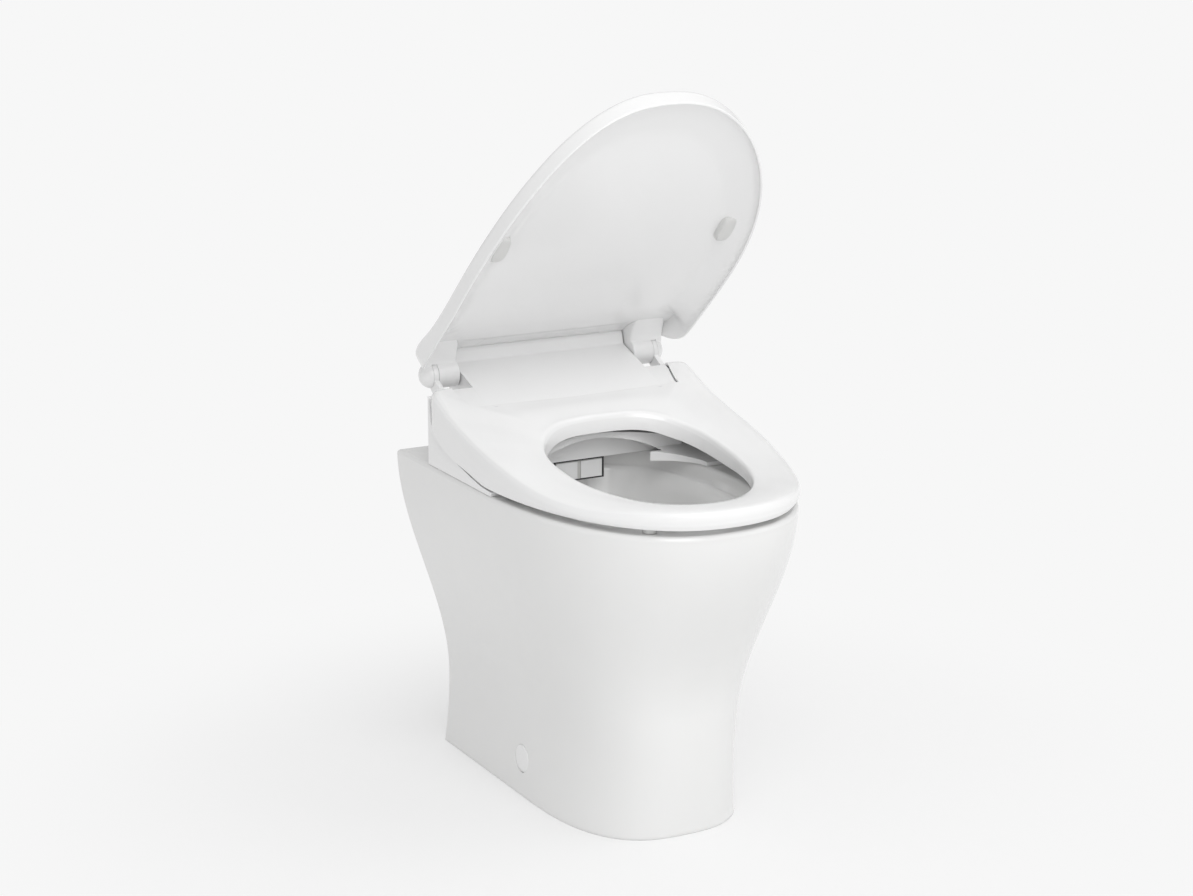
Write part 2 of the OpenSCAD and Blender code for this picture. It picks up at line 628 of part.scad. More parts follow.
// Height of the lid's inner face at a distance from the wall
function lid_in(r) = lid_at(r) - lid_wall;
arm_drop = 4;
function ear_at(x) = ear_r * pow(1 - pow((x - ear_round) / (ear_end - ear_round), 2.5), 0.4);
module ear() {
    translate([0, hinge_y, hinge_z]) rotate([0, 90, 0]) rotate_extrude($fn = 96)
        polygon(concat([[0, ear_in], [ear_r - 1, ear_in], [ear_r, ear_in + 1]],
            [for (x = [ear_round, 161, 166, 170, 173, 175.5, 177.5, 178.6]) [ear_at(x), x]], [[0, ear_end]]));
}
module lid_arms() {
    color("white") opened() both() difference() {
        union() {
            difference() {
                ear();
                rod_x(lug_in - 0.4, lug_out + 0.4, hinge_y, hinge_z, ear_r + 1);
            }
            slab_x(ear_in + 3, lug_in - 5, concat([[hinge_y + 4, hinge_z + 6], [hinge_y - 14, hinge_z + 6]],
                [for (r = [hinge_rear + 14, hinge_rear + 10, hinge_rear + 5, hinge_rear, hinge_rear - 4])
                    [yw - r, lid_in(r) - arm_drop]]));
            slab_x(lug_out + 0.4, lug_out + 7.5, [[hinge_y, hinge_z + 6], [hinge_y - 11, hinge_z + 6],
                [hinge_y - 12, hinge_z + 24], [hinge_y - 1, hinge_z + 24]]);
        }
        rod_x(ear_in - 1, lug_out + 2.5, hinge_y, hinge_z, shaft_r + run_gap);
    }
}
pad_x = seat_half - 34;
pad_rear = depth - 231;
function pad_side(drop) = concat(
    [for (k = [-2 : 2]) let (r = pad_rear + 15 * k) [yw - r, lid_in(r) - drop]],
    [for (r = [pad_rear + 30, pad_rear, pad_rear - 30]) [yw - r, pan_h + along(seat_edge, r) + 5]]);
module lid_pads() {
    y0 = yw - pad_rear - (pad_len - pad_w) / 2;
    y1 = yw - pad_rear + (pad_len - pad_w) / 2;
    z = lid_in(pad_rear);
    color("white") opened() both() intersection() {
        union() {
            box([pad_x - pad_w / 2, y0, z - 40], [pad_x + pad_w / 2, y1, z + 10]);
            rod_z(z - 40, z + 10, pad_x, y0, pad_w / 2);
            rod_z(z - 40, z + 10, pad_x, y1, pad_w / 2);
        }
        slab_x(pad_x - pad_w, pad_x + pad_w, pad_side(2.6));
    }
}

// Bidet unit: casing
unit_half = seat_half - unit_inset;
floor_z = pan_h + 0.4;
tub_top = pan_h + 68;
module tub(in, z0, z1) {
    r = 24;
    x = unit_back_half - in;
    y1 = yw - unit_rear - in;
    y0 = yw - wedge_rear - 3;
    union() {
        box([-x + r - in, y0, z0], [x - r + in, y1, z1]);
        box([-x, y0, z0], [x, y1 - r + in, z1]);
        both() rod_z(z0, z1, x - r + in, y1 - r + in, r - in);
    }
}
function wedge_side(in) = concat(
    [[yw - wedge_tip + in, floor_z - (in > 0 ? 1 : 0)]],
    [for (k = [12 : -1 : 0]) let (r = mix(wedge_rear + 3.5, wedge_tip - in * 2, k * k / 144))
        [yw - r, pan_h + along(seat_under, r) - 1.2 - in]],
    [[yw - wedge_rear - in, pan_h + 90 - in], [yw - wedge_rear - in, floor_z - (in > 0 ? 1 : 0)]]);
arch_r = 196;
arch_z = pan_h + 36 - arch_r;
lip_r = 440;
lip_z = pan_h + 42.5 - lip_r;
nozzle_wall = 165;
module mouth_cut() {
    translate([0, yw - wedge_tip, pan_h - 5]) linear_extrude(120)
        polygon(concat([for (t = [0 : 5 : 180]) [126 * cos(t), 75 * sin(t)]], [[-126, -30], [126, -30]]));
}
module base_casing() {
    color("white") difference() {
        union() {
            tub(0, floor_z, tub_top);
            slab_x(-unit_half, unit_half, wedge_side(0));
            intersection() {
                rod_y(yw - 205, yw - 130, 0, lip_z, lip_r);
                box([-128, yw - 205, floor_z], [128, yw - 130, pan_h + 80]);
            }
        }
        mouth_cut();
        rod_y(yw - 215, yw - nozzle_wall, 0, arch_z, arch_r);
        both() slab_x(131, unit_half - unit_wall, wedge_side(unit_wall));
        difference() {
            tub(unit_wall, floor_z + unit_wall, tub_top + 40);
            both() box([unit_back_half - 8, yw - wedge_rear - 5, floor_z - 5],
                [150, yw - wedge_rear, tub_top + 50]);
        }
        box([-122, yw - nozzle_wall + unit_wall, floor_z + unit_wall],
            [122, yw - wedge_rear + 3, pan_h + 110]);
        box([-hump_half - gap, yw - seat_rear - 2, pan_h + 50],
            [hump_half + gap, yw - wedge_rear + 3, pan_h + 110]);
        box([-plate_half - 2, bolt_y - 24, floor_z - 1], [plate_half + 2, bolt_y + 28, pan_h + 10]);
        box([duct_x0 - gap, yw - nozzle_wall + unit_wall, floor_z - 1],
            [block_half + gap, yw - mouth_rear + 12, pan_h + 9]);
        rod_y(yw - unit_rear - 14, yw - unit_rear + 1, port_x, port_z, port_r + 7);
        rod_y(yw - unit_rear - 5, yw - unit_rear + 1, -port_x, port_z, 10.6);
        rod_x(unit_half - unit_wall - 1, unit_half + 1, button_y, button_z, button_r + 0.3);
        both() box([lug_in - 1, yw - seat_rear + 0.5, seat_z + 54], [lug_out + 1, hinge_y - 30, hinge_z]);
    }
}
// Cover: the flush panel in front and the hump over the hinge line
hump_r = 33;
function cover_pt(r, z) = [yw - r, pan_h + z];
function drum_arc(in) = [for (a = [219, 213, 207, 202])
    [hinge_y + (cover_r - in) * cos(a), hinge_z + (cover_r - in) * sin(a)]];
function hump_side(in) = concat(drum_arc(in), [
    cover_pt(panel_front - in * 1.2, panel_up - in * 0.7), cover_pt(46.5 - in, 119 - in * 0.6),
    cover_pt(43 - in, ridge_up - 3 - in), cover_pt(ridge_rear - in * 0.4, ridge_up - in * 1.3)],
    [for (a = [42, 30, 15, 0, -15, -30, -45, -55])
        [hinge_y + (hump_r - in) * cos(a), hinge_z + (hump_r - in) * sin(a)]],
    [[hinge_y + (hump_r - in) * cos(-55), tub_top + 2.5 - (in > 0 ? 12 : 0)]],
    in > 0 ? [[drum_arc(in)[0][0], tub_top - 30]] : []);
function strip_side(in) = concat(drum_arc(in), [
    cover_pt(panel_front - in * 1.2, panel_up - in * 0.7), cover_pt(seat_rear + 2 + in, 99 - in),
    cover_pt(seat_rear + 2 + in, 70 - (in > 0 ? 20 : 0))],
    in > 0 ? [[drum_arc(in)[0][0], tub_top - 30]] : []);
module strip_plan(in) {
    translate([0, 0, pan_h]) linear_extrude(150)
        polygon(cover_plan(panel_half - in, strip_half - in, yw - panel_front - 5));
}
module top_cover() {
    w = unit_wall;
    color("white") difference() {
        union() {
            slab_x(-hump_half, hump_half, hump_side(0));
            intersection() {
                slab_x(-strip_half, strip_half, strip_side(0));
                strip_plan(0);
            }
        }
        slab_x(-hump_half + w, hump_half - w, hump_side(w));
        intersection() {
            slab_x(-strip_half, strip_half, strip_side(w));
            strip_plan(w);
        }
        both() rod_x(hump_half - w - 1, hump_half + 1, hinge_y, hinge_z, shaft_r + 0.2);
    }
}
module rear_cover() {
    color("white") difference() {
        tub(0, tub_top, tub_top + 2.5);
        box([-150, yw - wedge_rear - 10, tub_top - 1], [150, yw - wedge_rear + gap, tub_top + 5]);
        box([-hump_half - gap, yw - wedge_rear - 10, tub_top - 1],
            [hump_half + gap, hinge_y + 19.4, tub_top + 5]);
    }
}

// Spray wands: their shared slope runs back and up from the middle of the doors
door_y = yw - door_rear;
door_mid = pan_h - 15.7;
block_half = 38;
door_t = 1.4;
block_y = door_y + 1.8;
function on_slope(s) = [door_y + s * cos(wand_slope), door_mid + s * sin(wand_slope)];
module sloped(x) {
    translate([x, door_y, door_mid]) rotate([wand_slope - 90, 0, 0]) children();
}
block_high = wand_r + 4.5;
module nozzle_block() {
    d = block_high / cos(wand_slope);
    far = on_slope(114);
    t = tan(wand_slope);
    color("gainsboro") difference() {
        slab_x(-block_half, block_half, [
            [block_y, door_mid - door_h / 2 - 2.5], [block_y, door_mid + d + 1.5],
            [far[0], far[1] + d], [far[0], far[1] - d + 1], [block_y + 5, door_mid + 5 * t - d]]);
        for (x = [-1, 1]) sloped(x * wand_pitch / 2) translate([0, 0, -20])
            cylinder(h = 200, r = wand_r + run_gap, $fn = 64);
    }
}
frame_half = wand_pitch / 2 + door_w / 2 + 3;
module nozzle_frame() {
    z0 = door_mid - door_h / 2;
    z1 = door_mid + door_h / 2;
    color("dimgray") difference() {
        box([-frame_half, door_y, z0 - 2], [frame_half, block_y, z1 + 3.5]);
        box([-frame_half + 2, door_y - 1, z0 - 0.7], [frame_half - 2, block_y + 1, z1 + 1.8]);
    }
}
door_pin_y = door_y + door_t / 2;
door_pin_z = door_mid + door_h / 2;
module nozzle_door(side) {
    x = side * wand_pitch / 2;
    color("white") union() {
        box([x - door_w / 2, door_y, door_mid - door_h / 2], [x + door_w / 2, door_y + door_t, door_pin_z]);
        rod_x(x - door_w / 2, x + door_w / 2, door_pin_y, door_pin_z, door_t / 2);
    }
}
module nozzle_door_left() { nozzle_door(-1); }
module nozzle_door_right() { nozzle_door(1); }
module wand() {
    difference() {
        rotate_extrude($fn = 64) polygon(concat(
            [for (a = [270 : -15 : 180]) [wand_r * 0.8 * sin(a - 180), wand_r * 0.8 * (1 - cos(a - 180))]],
            [[0, wand_len], [wand_r - 1.5, wand_len], [wand_r, wand_len - 1.5], [wand_r, 12]]));
        translate([0, 0, 9]) rotate([-90, 0, 0]) cylinder(h = wand_r + 2, r = 1.2, $fn = 24);
        translate([0, 0, 13.5]) rotate([-90, 0, 0]) cylinder(h = wand_r + 2, r = 0.9, $fn = 24);
    }
}
module rear_wand() { color("white") sloped(-wand_pitch / 2) translate([0, 0, wand_back]) wand(); }
module front_wand() { color("white") sloped(wand_pitch / 2) translate([0, 0, wand_back]) wand(); }
motor_at = on_slope(96);
module wand_motors() {
    color("gray") both() union() {
        rod_x(block_half, block_half + 15, motor_at[0], motor_at[1], 9.5);
        rod_x(block_half + 15, block_half + 17, motor_at[0], motor_at[1], 4);
    }
}

// Water side
in_floor = floor_z + unit_wall;
port_x = 100;
port_z = pan_h + 34;
port_r = 10.4;
module inlet_valve() {
    color("lightgray") difference() {
        union() {
            box([84, yw - 62, pan_h + 11], [118, yw - 22, pan_h + 37]);
            box([99, yw - 62, in_floor], [118, yw - 22, pan_h + 12]);
            rod_y(yw - 24, yw - 19, port_x, port_z, port_r - 2);
            rod_y(yw - 20, yw - 2, port_x, port_z, port_r);
            rod_z(pan_h + 30, pan_h + 39, 92, yw - 45, 7);
        }
        rod_y(yw - 40, yw, port_x, port_z, 6);
    }
}
module water_heater() {
    color("silver") union() {
        box([52, yw - 128, in_floor], [118, yw - 96, pan_h + 45]);
        for (x = [64, 106]) rod_z(pan_h + 45, pan_h + 50, x, yw - 102, 4);
    }
}
pump_z = pan_h + 63;
module pump() {
    color("dimgray") union() {
        rod_x(66, 112, yw - 116, pump_z, 11);
        rod_x(58, 66, yw - 116, pump_z, 6);
        box([72, yw - 124, pan_h + 45], [106, yw - 108, pump_z - 4]);
    }
}

// Electrics and air on the other side
post_z = pan_h + 33;
module board_posts() {
    color("silver") for (x = [-118, -62.5], y = [yw - 124, yw - 100]) rod_z(in_floor, post_z, x, y, 2.5);
}
module control_board() {
    color("seagreen") union() {
        box([-121, yw - 127, post_z], [-60, yw - 97, post_z + 1.6]);
        box([-112, yw - 120, post_z + 1.6], [-96, yw - 106, post_z + 4]);
        for (k = [0 : 3]) rod_z(post_z + 1.6, post_z + 11, -89 + k * 7, yw - 104, 2.8);
        box([-90, yw - 124, post_z + 1.6], [-68, yw - 114, post_z + 9]);
    }
}
module deodoriser() {
    color("lightgray") difference() {
        box([-113, yw - 128, in_floor], [-67, yw - 96, pan_h + 28]);
        for (k = [0 : 5]) box([-109 + k * 7, yw - 124, pan_h + 20], [-105 + k * 7, yw - 100, pan_h + 29]);
    }
}
module power_gland() {
    color("lightgray") difference() {
        union() {
            rod_y(yw - 20, yw - 6, -port_x, port_z, 10.3);
            rod_y(yw - 21, yw - 15, -port_x, port_z, 12.5);
        }
        rod_y(yw - 22, yw - 5, -port_x, port_z, 3.6);
    }
}
fan_x = -98;
fan_y = yw - 60;
fan_z = pan_h + 11;
fan_high = 23;
module fan_housing() {
    color("gainsboro") union() {
        translate([fan_x, fan_y, fan_z]) rotate_extrude($fn = 72) polygon([
            [0, 0], [fan_r + 4, 0], [fan_r + 4, fan_high], [15, fan_high], [15, fan_high - 1.8],
            [fan_r + 2, fan_high - 1.8], [fan_r + 2, 2], [0, 2]]);
        for (p = [[-24, 0], [-5, 24], [-5, -24]]) rod_z(in_floor, fan_z, fan_x + p[0], fan_y + p[1], 3);
    }
}
module fan_motor() {
    color("dimgray") translate([fan_x, fan_y, fan_z]) union() {
        translate([0, 0, 2]) cylinder(h = 8, r = 9, $fn = 48);
        translate([0, 0, 2]) cylinder(h = 16, r = 1.5, $fn = 32);
    }
}
module fan_impeller() {
    color("gray") translate([fan_x, fan_y, fan_z]) union() {
        rotate_extrude($fn = 72) polygon([
            [1.5 + run_gap, 11], [1.5 + run_gap, 19], [4, 19], [4, 13], [12, 13], [12, 4], [fan_r, 4],
            [fan_r, 2.8],
            [10.3, 2.8], [10.3, 11]]);
        for (k = [0 : fan_blades - 1]) rotate([0, 0, k * 360 / fan_blades])
            translate([16, -0.6, 3.4]) cube([fan_r - 17, 1.2, 15]);
    }
}
duct_x0 = -58;
duct_x1 = -42;
duct_foot = pan_h - 27;
module dryer_duct() {
    y0 = door_y + 0.6;
    pts = [[y0, duct_foot], [y0, pan_h - 1], [yw - 146, pan_h + 26], [yw - 72, pan_h + 28],
           [yw - 72, pan_h + 12],
           [yw - 112, pan_h + 12], [yw - 142, pan_h - 3], [yw - 142, duct_foot]];
    bore = [[y0 - 1, duct_foot + 1.5], [y0 - 1, pan_h - 4], [y0 + 1.5, pan_h - 4], [yw - 145.5, pan_h + 24.3],
            [yw - 71, pan_h + 26.3], [yw - 71, pan_h + 13.7], [yw - 112.6, pan_h + 13.7],
            [yw - 143.6, pan_h - 2],
            [yw - 143.6, duct_foot + 1.5]];
    color("gray") difference() {
        slab_x(duct_x0, duct_x1, pts);
        slab_x(duct_x0 + 1.5, duct_x1 - 1.5, bore);
    }
}
flap_t = 1.2;
flap_z = pan_h - 3;
flap_y = door_y - 0.5;
module dryer_flap() {
    color("dimgray") union() {
        box([duct_x0 + 0.5, flap_y - flap_t / 2, duct_foot + 0.5],
            [duct_x1 - 0.5, flap_y + flap_t / 2, flap_z]);
        rod_x(duct_x0 + 0.5, duct_x1 - 0.5, flap_y, flap_z, flap_t / 2);
    }
}

// Hinge line inside the hump
module hinge_shafts() { color("silver") both() rod_x(112, lug_out + 1.5, hinge_y, hinge_z, shaft_r); }
module hinge_dampers() {
    color("dimgray") both() union() {
        rod_x(74, 111.7, hinge_y, hinge_z - 11, 13);
        rod_x(70, 74, hinge_y, hinge_z - 11, 7);
    }
}
module hinge_brackets() {
    y0 = hinge_y - 9;
    y1 = hinge_y + 9;
    color("gainsboro") both() difference() {
        union() {
            box([112, y0, pan_h + 40], [123.5, y1, hinge_z - 9]);
            rod_x(112, 123.5, hinge_y, hinge_z - 5, 9);
            box([112, y0, pan_h + 40], [139, y1, pan_h + 61]);
            box([130, y0, in_floor], [139, y1, pan_h + 41]);
        }
        rod_x(100, 130, hinge_y, hinge_z, shaft_r + 0.05);
    }
}
button_y = yw - 150;
button_z = pan_h + 12;
button_r = 5;
module release_button() {
    x = unit_half - unit_wall;
    color("gainsboro") union() {
        rod_x(x - 2.4, x - 0.3, button_y, button_z, button_r + 2);
        rod_x(x - 0.4, unit_half + 1.4, button_y, button_z, button_r);
        rod_x(x - 14, x - 2.4, button_y, button_z, 2);
    }
}

pan();
trapway();
inlet_seal();
floor_brackets();
floor_screws();
side_screws();
side_caps();
mounting_plate();
deck_bolts();
deck_washers();
deck_nuts();
base_casing();
top_cover();
rear_cover();
nozzle_block();
nozzle_frame();
wand_motors();
inlet_valve();
water_heater();
pump();
board_posts();
control_board();
deodoriser();
power_gland();
fan_housing();
fan_motor();
dryer_duct();
hinge_shafts();
hinge_dampers();
hinge_brackets();
rear_wand();
front_wand();
nozzle_door_left();
nozzle_door_right();
dryer_flap();
fan_impeller();
release_button();
seat_top();
seat_base();
seat_heater();
seat_bumpers();
lid_shell();
lid_arms();
lid_pads();
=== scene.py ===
import json
import math
import bmesh
import bpy
import numpy as np
from mathutils import Matrix, Vector


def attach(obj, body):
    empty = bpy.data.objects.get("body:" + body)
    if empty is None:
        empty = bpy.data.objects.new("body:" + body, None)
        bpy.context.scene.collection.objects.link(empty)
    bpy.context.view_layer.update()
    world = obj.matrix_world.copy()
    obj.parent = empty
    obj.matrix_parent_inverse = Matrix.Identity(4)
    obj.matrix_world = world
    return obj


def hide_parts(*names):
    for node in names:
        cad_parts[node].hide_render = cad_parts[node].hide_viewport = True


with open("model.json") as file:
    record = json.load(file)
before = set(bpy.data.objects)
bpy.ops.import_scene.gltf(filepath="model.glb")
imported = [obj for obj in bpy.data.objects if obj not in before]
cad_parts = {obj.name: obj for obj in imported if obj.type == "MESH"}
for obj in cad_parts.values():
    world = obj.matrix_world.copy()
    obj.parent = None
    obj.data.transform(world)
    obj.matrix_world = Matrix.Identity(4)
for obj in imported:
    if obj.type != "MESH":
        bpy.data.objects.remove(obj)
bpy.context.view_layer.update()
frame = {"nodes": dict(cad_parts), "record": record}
print("frame loaded")

# Camera, lamps and studio. Lengths here are metres.
view = {"place": (-1.5906, -2.8943, 1.3110), "aim": (0.4575, 0.8537, -0.2488), "lens": 81.52, "sensor": 36.0,
        "farthest": 100.0}
lamps = {  # place, size, watts
    "keyLamp": ((2.2, -1.6, 3.2), 2.6, 20.0),
    "frontLamp": ((-0.6, -3.4, 2.0), 2.6, 20.0),
    "highLamp": ((-0.7, -2.6, 3.2), 2.4, 40.0)}
studio = {"lampAim": (0.0, 0.0, 0.4), "floor": (0.93, 0.93, 0.93), "backdrop": (0.93, 0.93, 0.93), "world": 0.65,
          "size": 30.0, "near": 0.25, "far": 0.9, "least": 0.45, "cloud": 0.6, "cloudShade": 0.985}


def pointAt(obj, place, direction):
    obj.location = place
    obj.rotation_euler = Vector(direction).to_track_quat("-Z", "Y").to_euler()
    bpy.context.scene.collection.objects.link(obj)
    return obj


def makeCamera():
    lens = bpy.data.cameras.new("camera")
    lens.lens, lens.sensor_width, lens.sensor_fit = view["lens"], view["sensor"], "HORIZONTAL"
    lens.clip_end = view["farthest"]
    bpy.context.scene.camera = pointAt(bpy.data.objects.new("camera", lens), view["place"], view["aim"])
    bpy.context.scene.view_settings.view_transform = "Standard"


def makeLamps():
    for name, (place, size, watts) in lamps.items():
        lamp = bpy.data.lights.new(name, "AREA")
        lamp.shape, lamp.size, lamp.energy = "DISK", size, watts
        pointAt(bpy.data.objects.new(name, lamp), place, Vector(studio["lampAim"]) - Vector(place))


def makeFloor():
    mesh, s = bpy.data.meshes.new("floor"), studio["size"]
    mesh.from_pydata([(-s, -s, 0), (s, -s, 0), (s, s, 0), (-s, s, 0)], [], [(0, 1, 2, 3)])
    mesh.materials.append(floorFinish())
    floorPiece = bpy.data.objects.new("floor", mesh)
    bpy.context.scene.collection.objects.link(floorPiece)


def makeWorld():  # soft light all round, while the camera sees the plain backdrop
    world = bpy.data.worlds.new("studio")
    bpy.context.scene.world = world
    world.use_nodes = True
    nodes, links = world.node_tree.nodes, world.node_tree.links
    soft, shown = nodes["Background"], nodes.new("ShaderNodeBackground")
    both, path = nodes.new("ShaderNodeMixShader"), nodes.new("ShaderNodeLightPath")
    soft.inputs["Color"].default_value = (1, 1, 1, 1)
    soft.inputs["Strength"].default_value = studio["world"]
    shown.inputs["Color"].default_value = rgba(studio["backdrop"])
    links.new(path.outputs["Is Camera Ray"], both.inputs[0])
    links.new(soft.outputs[0], both.inputs[1])
    links.new(shown.outputs[0], both.inputs[2])
    links.new(both.outputs[0], nodes["World Output"].inputs["Surface"])


# Shader maths: a wire is one socket, and a sum or product with a wire adds its Math node
class Wire:
    def __init__(self, finish, socket):
        self.finish, self.socket = finish, socket

    def maths(self, how, a, b):
        return self.finish.node("ShaderNodeMath", {"operation": how}, {0: a, 1: b})

    def __add__(self, other):
        return self.maths("ADD", self, other)

    def __radd__(self, other):
        return self.maths("ADD", other, self)

    def __mul__(self, other):
        return self.maths("MULTIPLY", self, other)

    def __rmul__(self, other):
        return self.maths("MULTIPLY", other, self)


class Finish:
    def __init__(self, name, settings):
        self.material = bpy.data.materials.new(name)
        self.material.use_nodes = True
        self.tree = self.material.node_tree
        self.shader = self.tree.nodes["Principled BSDF"]
        for key, value in settings.items():
            self.shader.inputs[key].default_value = value
        self.place = self.node("ShaderNodeTexCoord", out="Object")

    def node(self, kind, settings=None, values=None, out=0):
        made = self.tree.nodes.new(kind)
        for key, value in (settings or {}).items():
            setattr(made, key, value)
        for key, value in (values or {}).items():
            if isinstance(value, Wire):
                self.tree.links.new(value.socket, made.inputs[key])
            else:
                made.inputs[key].default_value = value
        return Wire(self, made.outputs[out])

    def noise(self, scale, detail=2.0):
        return self.node("ShaderNodeTexNoise", {}, {"Vector": self.place, "Scale": scale, "Detail": detail})

    def blendColors(self, factor, a, b):
        return self.node("ShaderNodeMix", {"data_type": "RGBA"}, {0: factor, 6: rgba(a), 7: rgba(b)}, out=2)

    def feed(self, socket, wire):
        self.tree.links.new(wire.socket, self.shader.inputs[socket])

    def bump(self, height, depth, strength):
        relief = {"Height": height, "Distance": depth, "Strength": strength}
        self.feed("Normal", self.node("ShaderNodeBump", {}, relief))


def rgba(color):
    return (*color, 1.0)


# Finishes. Scales are per metre and depths in metres.
glaze = {"color": (0.82, 0.82, 0.815), "shade": (0.79, 0.79, 0.785), "rough": (0.055, 0.11), "ior": 1.52,
         "coat": 0.35, "coatRough": 0.03, "patch": 7.0, "patchDetail": 3.0, "wear": 21.7, "ripple": 38.0,
         "rippleShare": 0.7, "orangePeel": 342.0, "peelShare": 0.05, "depth": 0.0004, "strength": 0.25}
moulding = {"ior": 1.49, "coatRough": 0.08, "flow": 5.0, "gloss": 22.0, "glossDetail": 3.0, "strength": 0.35}
plastics = {
    "whiteShell": {"color": (0.88, 0.88, 0.88), "shade": (0.865, 0.865, 0.865), "rough": (0.17, 0.25),
                   "grain": 900.0, "depth": 0.00002, "coat": 0.3},
    "lidShell": {"color": (0.88, 0.88, 0.88), "shade": (0.865, 0.865, 0.865), "rough": (0.2, 0.28),
                 "grain": 900.0, "depth": 0.00002, "coat": 0.2},
    "paleNylon": {"color": (0.62, 0.62, 0.6), "shade": (0.56, 0.56, 0.54), "rough": (0.42, 0.55),
                  "grain": 700.0, "depth": 0.00005, "coat": 0.0},
    "darkFrame": {"color": (0.035, 0.035, 0.038), "shade": (0.05, 0.05, 0.052), "rough": (0.4, 0.55),
                  "grain": 800.0, "depth": 0.00005, "coat": 0.0},
    "softPad": {"color": (0.72, 0.72, 0.71), "shade": (0.68, 0.68, 0.67), "rough": (0.55, 0.7),
                "grain": 1200.0, "depth": 0.00005, "coat": 0.0},
    "blackRubber": {"color": (0.02, 0.02, 0.02), "shade": (0.03, 0.03, 0.03), "rough": (0.6, 0.75),
                    "grain": 600.0, "depth": 0.00006, "coat": 0.0}}
metals = {
    "brushedSteel": {"color": (0.56, 0.56, 0.57), "rough": 0.26, "streak": (1.0, 1.0, 14.0)},
    "heatingFoil": {"color": (0.7, 0.7, 0.72), "rough": 0.3, "streak": (6.0, 6.0, 1.0)}}
brush = {"scale": 90.0, "detail": 3.0, "dark": 0.82, "uneven": 0.16, "depth": 0.00003, "strength": 0.4}
board = {"mask": (0.02, 0.16, 0.07), "maskShade": (0.025, 0.2, 0.09), "track": (0.1, 0.34, 0.16), "scale": 160.0,
         "trackWidth": 0.03, "wear": 60.0, "rough": (0.3, 0.5), "ior": 1.5}


def glazedChina():  # cloudy glaze over a slow ripple and a fine orange peel
    look = Finish("glazedChina", {
        "IOR": glaze["ior"], "Coat Weight": glaze["coat"], "Coat Roughness": glaze["coatRough"]})
    low, high = glaze["rough"]
    cloud = look.noise(glaze["patch"], glaze["patchDetail"])
    look.feed("Base Color", look.blendColors(cloud, glaze["color"], glaze["shade"]))
    look.feed("Roughness", look.noise(glaze["wear"]) * (high - low) + low)
    ripple, peel = (look.noise(glaze[scale], 1.0) * glaze[share]
                    for scale, share in (("ripple", "rippleShare"), ("orangePeel", "peelShare")))
    look.bump(ripple + peel, glaze["depth"], glaze["strength"])
    return look.material


def mouldedPlastic(name):  # slow flow marks in the colour, uneven gloss and a fine moulded grain
    kind = plastics[name]
    look = Finish(name, {
        "IOR": moulding["ior"], "Coat Weight": kind["coat"], "Coat Roughness": moulding["coatRough"]})
    low, high = kind["rough"]
    look.feed("Base Color", look.blendColors(look.noise(moulding["flow"]), kind["color"], kind["shade"]))
    look.feed("Roughness", look.noise(moulding["gloss"], moulding["glossDetail"]) * (high - low) + low)
    look.bump(look.noise(kind["grain"]), kind["depth"], moulding["strength"])
    return look.material


def metalFinish(name):  # noise stretched into brush lines
    kind = metals[name]
    look = Finish(name, {"Metallic": 1.0})
    stretched = look.node("ShaderNodeMapping", {}, {"Vector": look.place, "Scale": kind["streak"]})
    lines = look.node("ShaderNodeTexNoise", {}, {
        "Vector": stretched, "Scale": brush["scale"], "Detail": brush["detail"]})
    look.feed("Base Color", look.blendColors(lines, kind["color"], [c * brush["dark"] for c in kind["color"]]))
    look.feed("Roughness", lines * brush["uneven"] + kind["rough"])
    look.bump(lines, brush["depth"], brush["strength"])
    return look.material


def boardFinish():  # green mask with paler tracks, as the joints of a brick pattern
    look = Finish("circuitBoard", {"IOR": board["ior"]})
    low, high = board["rough"]
    look.feed("Base Color", look.node("ShaderNodeTexBrick", {}, {
        "Vector": look.place, "Scale": board["scale"], "Mortar Size": board["trackWidth"],
        "Color1": rgba(board["mask"]), "Color2": rgba(board["maskShade"]), "Mortar": rgba(board["track"])}))
    look.feed("Roughness", look.noise(board["wear"]) * (high - low) + low)
    return look.material


def floorFinish():  # painted floor that fades into the plain backdrop with the distance, for rays that show it
    look = Finish("floorPaint", {"Roughness": 0.9, "Specular IOR Level": 0.0})
    darker = [c * studio["cloudShade"] for c in studio["floor"]]
    look.feed("Base Color", look.blendColors(look.noise(studio["cloud"]), studio["floor"], darker))
    camera, glossy, clear = (look.node("ShaderNodeLightPath", out=kind)
                             for kind in ("Is Camera Ray", "Is Glossy Ray", "Is Transmission Ray"))
    seen = look.node("ShaderNodeMath", {"operation": "ADD", "use_clamp": True}, {0: camera + glossy, 1: clear})
    away = look.node("ShaderNodeVectorMath", {"operation": "LENGTH"}, {0: look.place}, out=1)
    plainShare = look.node("ShaderNodeMapRange", {"interpolation_type": "SMOOTHSTEP"}, {
        "Value": away, "From Min": studio["near"], "From Max": studio["far"], "To Min": studio["least"]})
    plain = look.node("ShaderNodeEmission", {}, {"Color": rgba(studio["backdrop"])})
    painted = Wire(look, look.shader.outputs[0])
    both = look.node("ShaderNodeMixShader", {}, {0: seen * plainShare, 1: painted, 2: plain})
    look.tree.links.new(both.socket, look.tree.nodes["Material Output"].inputs["Surface"])
    return look.material


# Forms. From here lengths are millimetres until a mesh is made; y is 281.5 at the wall and falls to the front.
wall = 281.5
full = {"depth": 563.0, "deck": 421.0, "hingeRear": 57.0, "hingeUp": 108.5, "lidOpen": 56.6}
hingeY, hingeZ = wall - full["hingeRear"], full["deck"] + full["hingeUp"]
hingeMiddle = (0.0, hingeY, hingeZ)
weld = 1e-6  # metres


def smooth(u):  # three times the square less twice the cube of u, with u held between 0 and 1
    v = np.clip(u, 0.0, 1.0)
    return v * v * (3.0 - 2.0 * v)


def mix(a, b, u):  # a plus the share u of the way to b
    return a + (b - a) * u


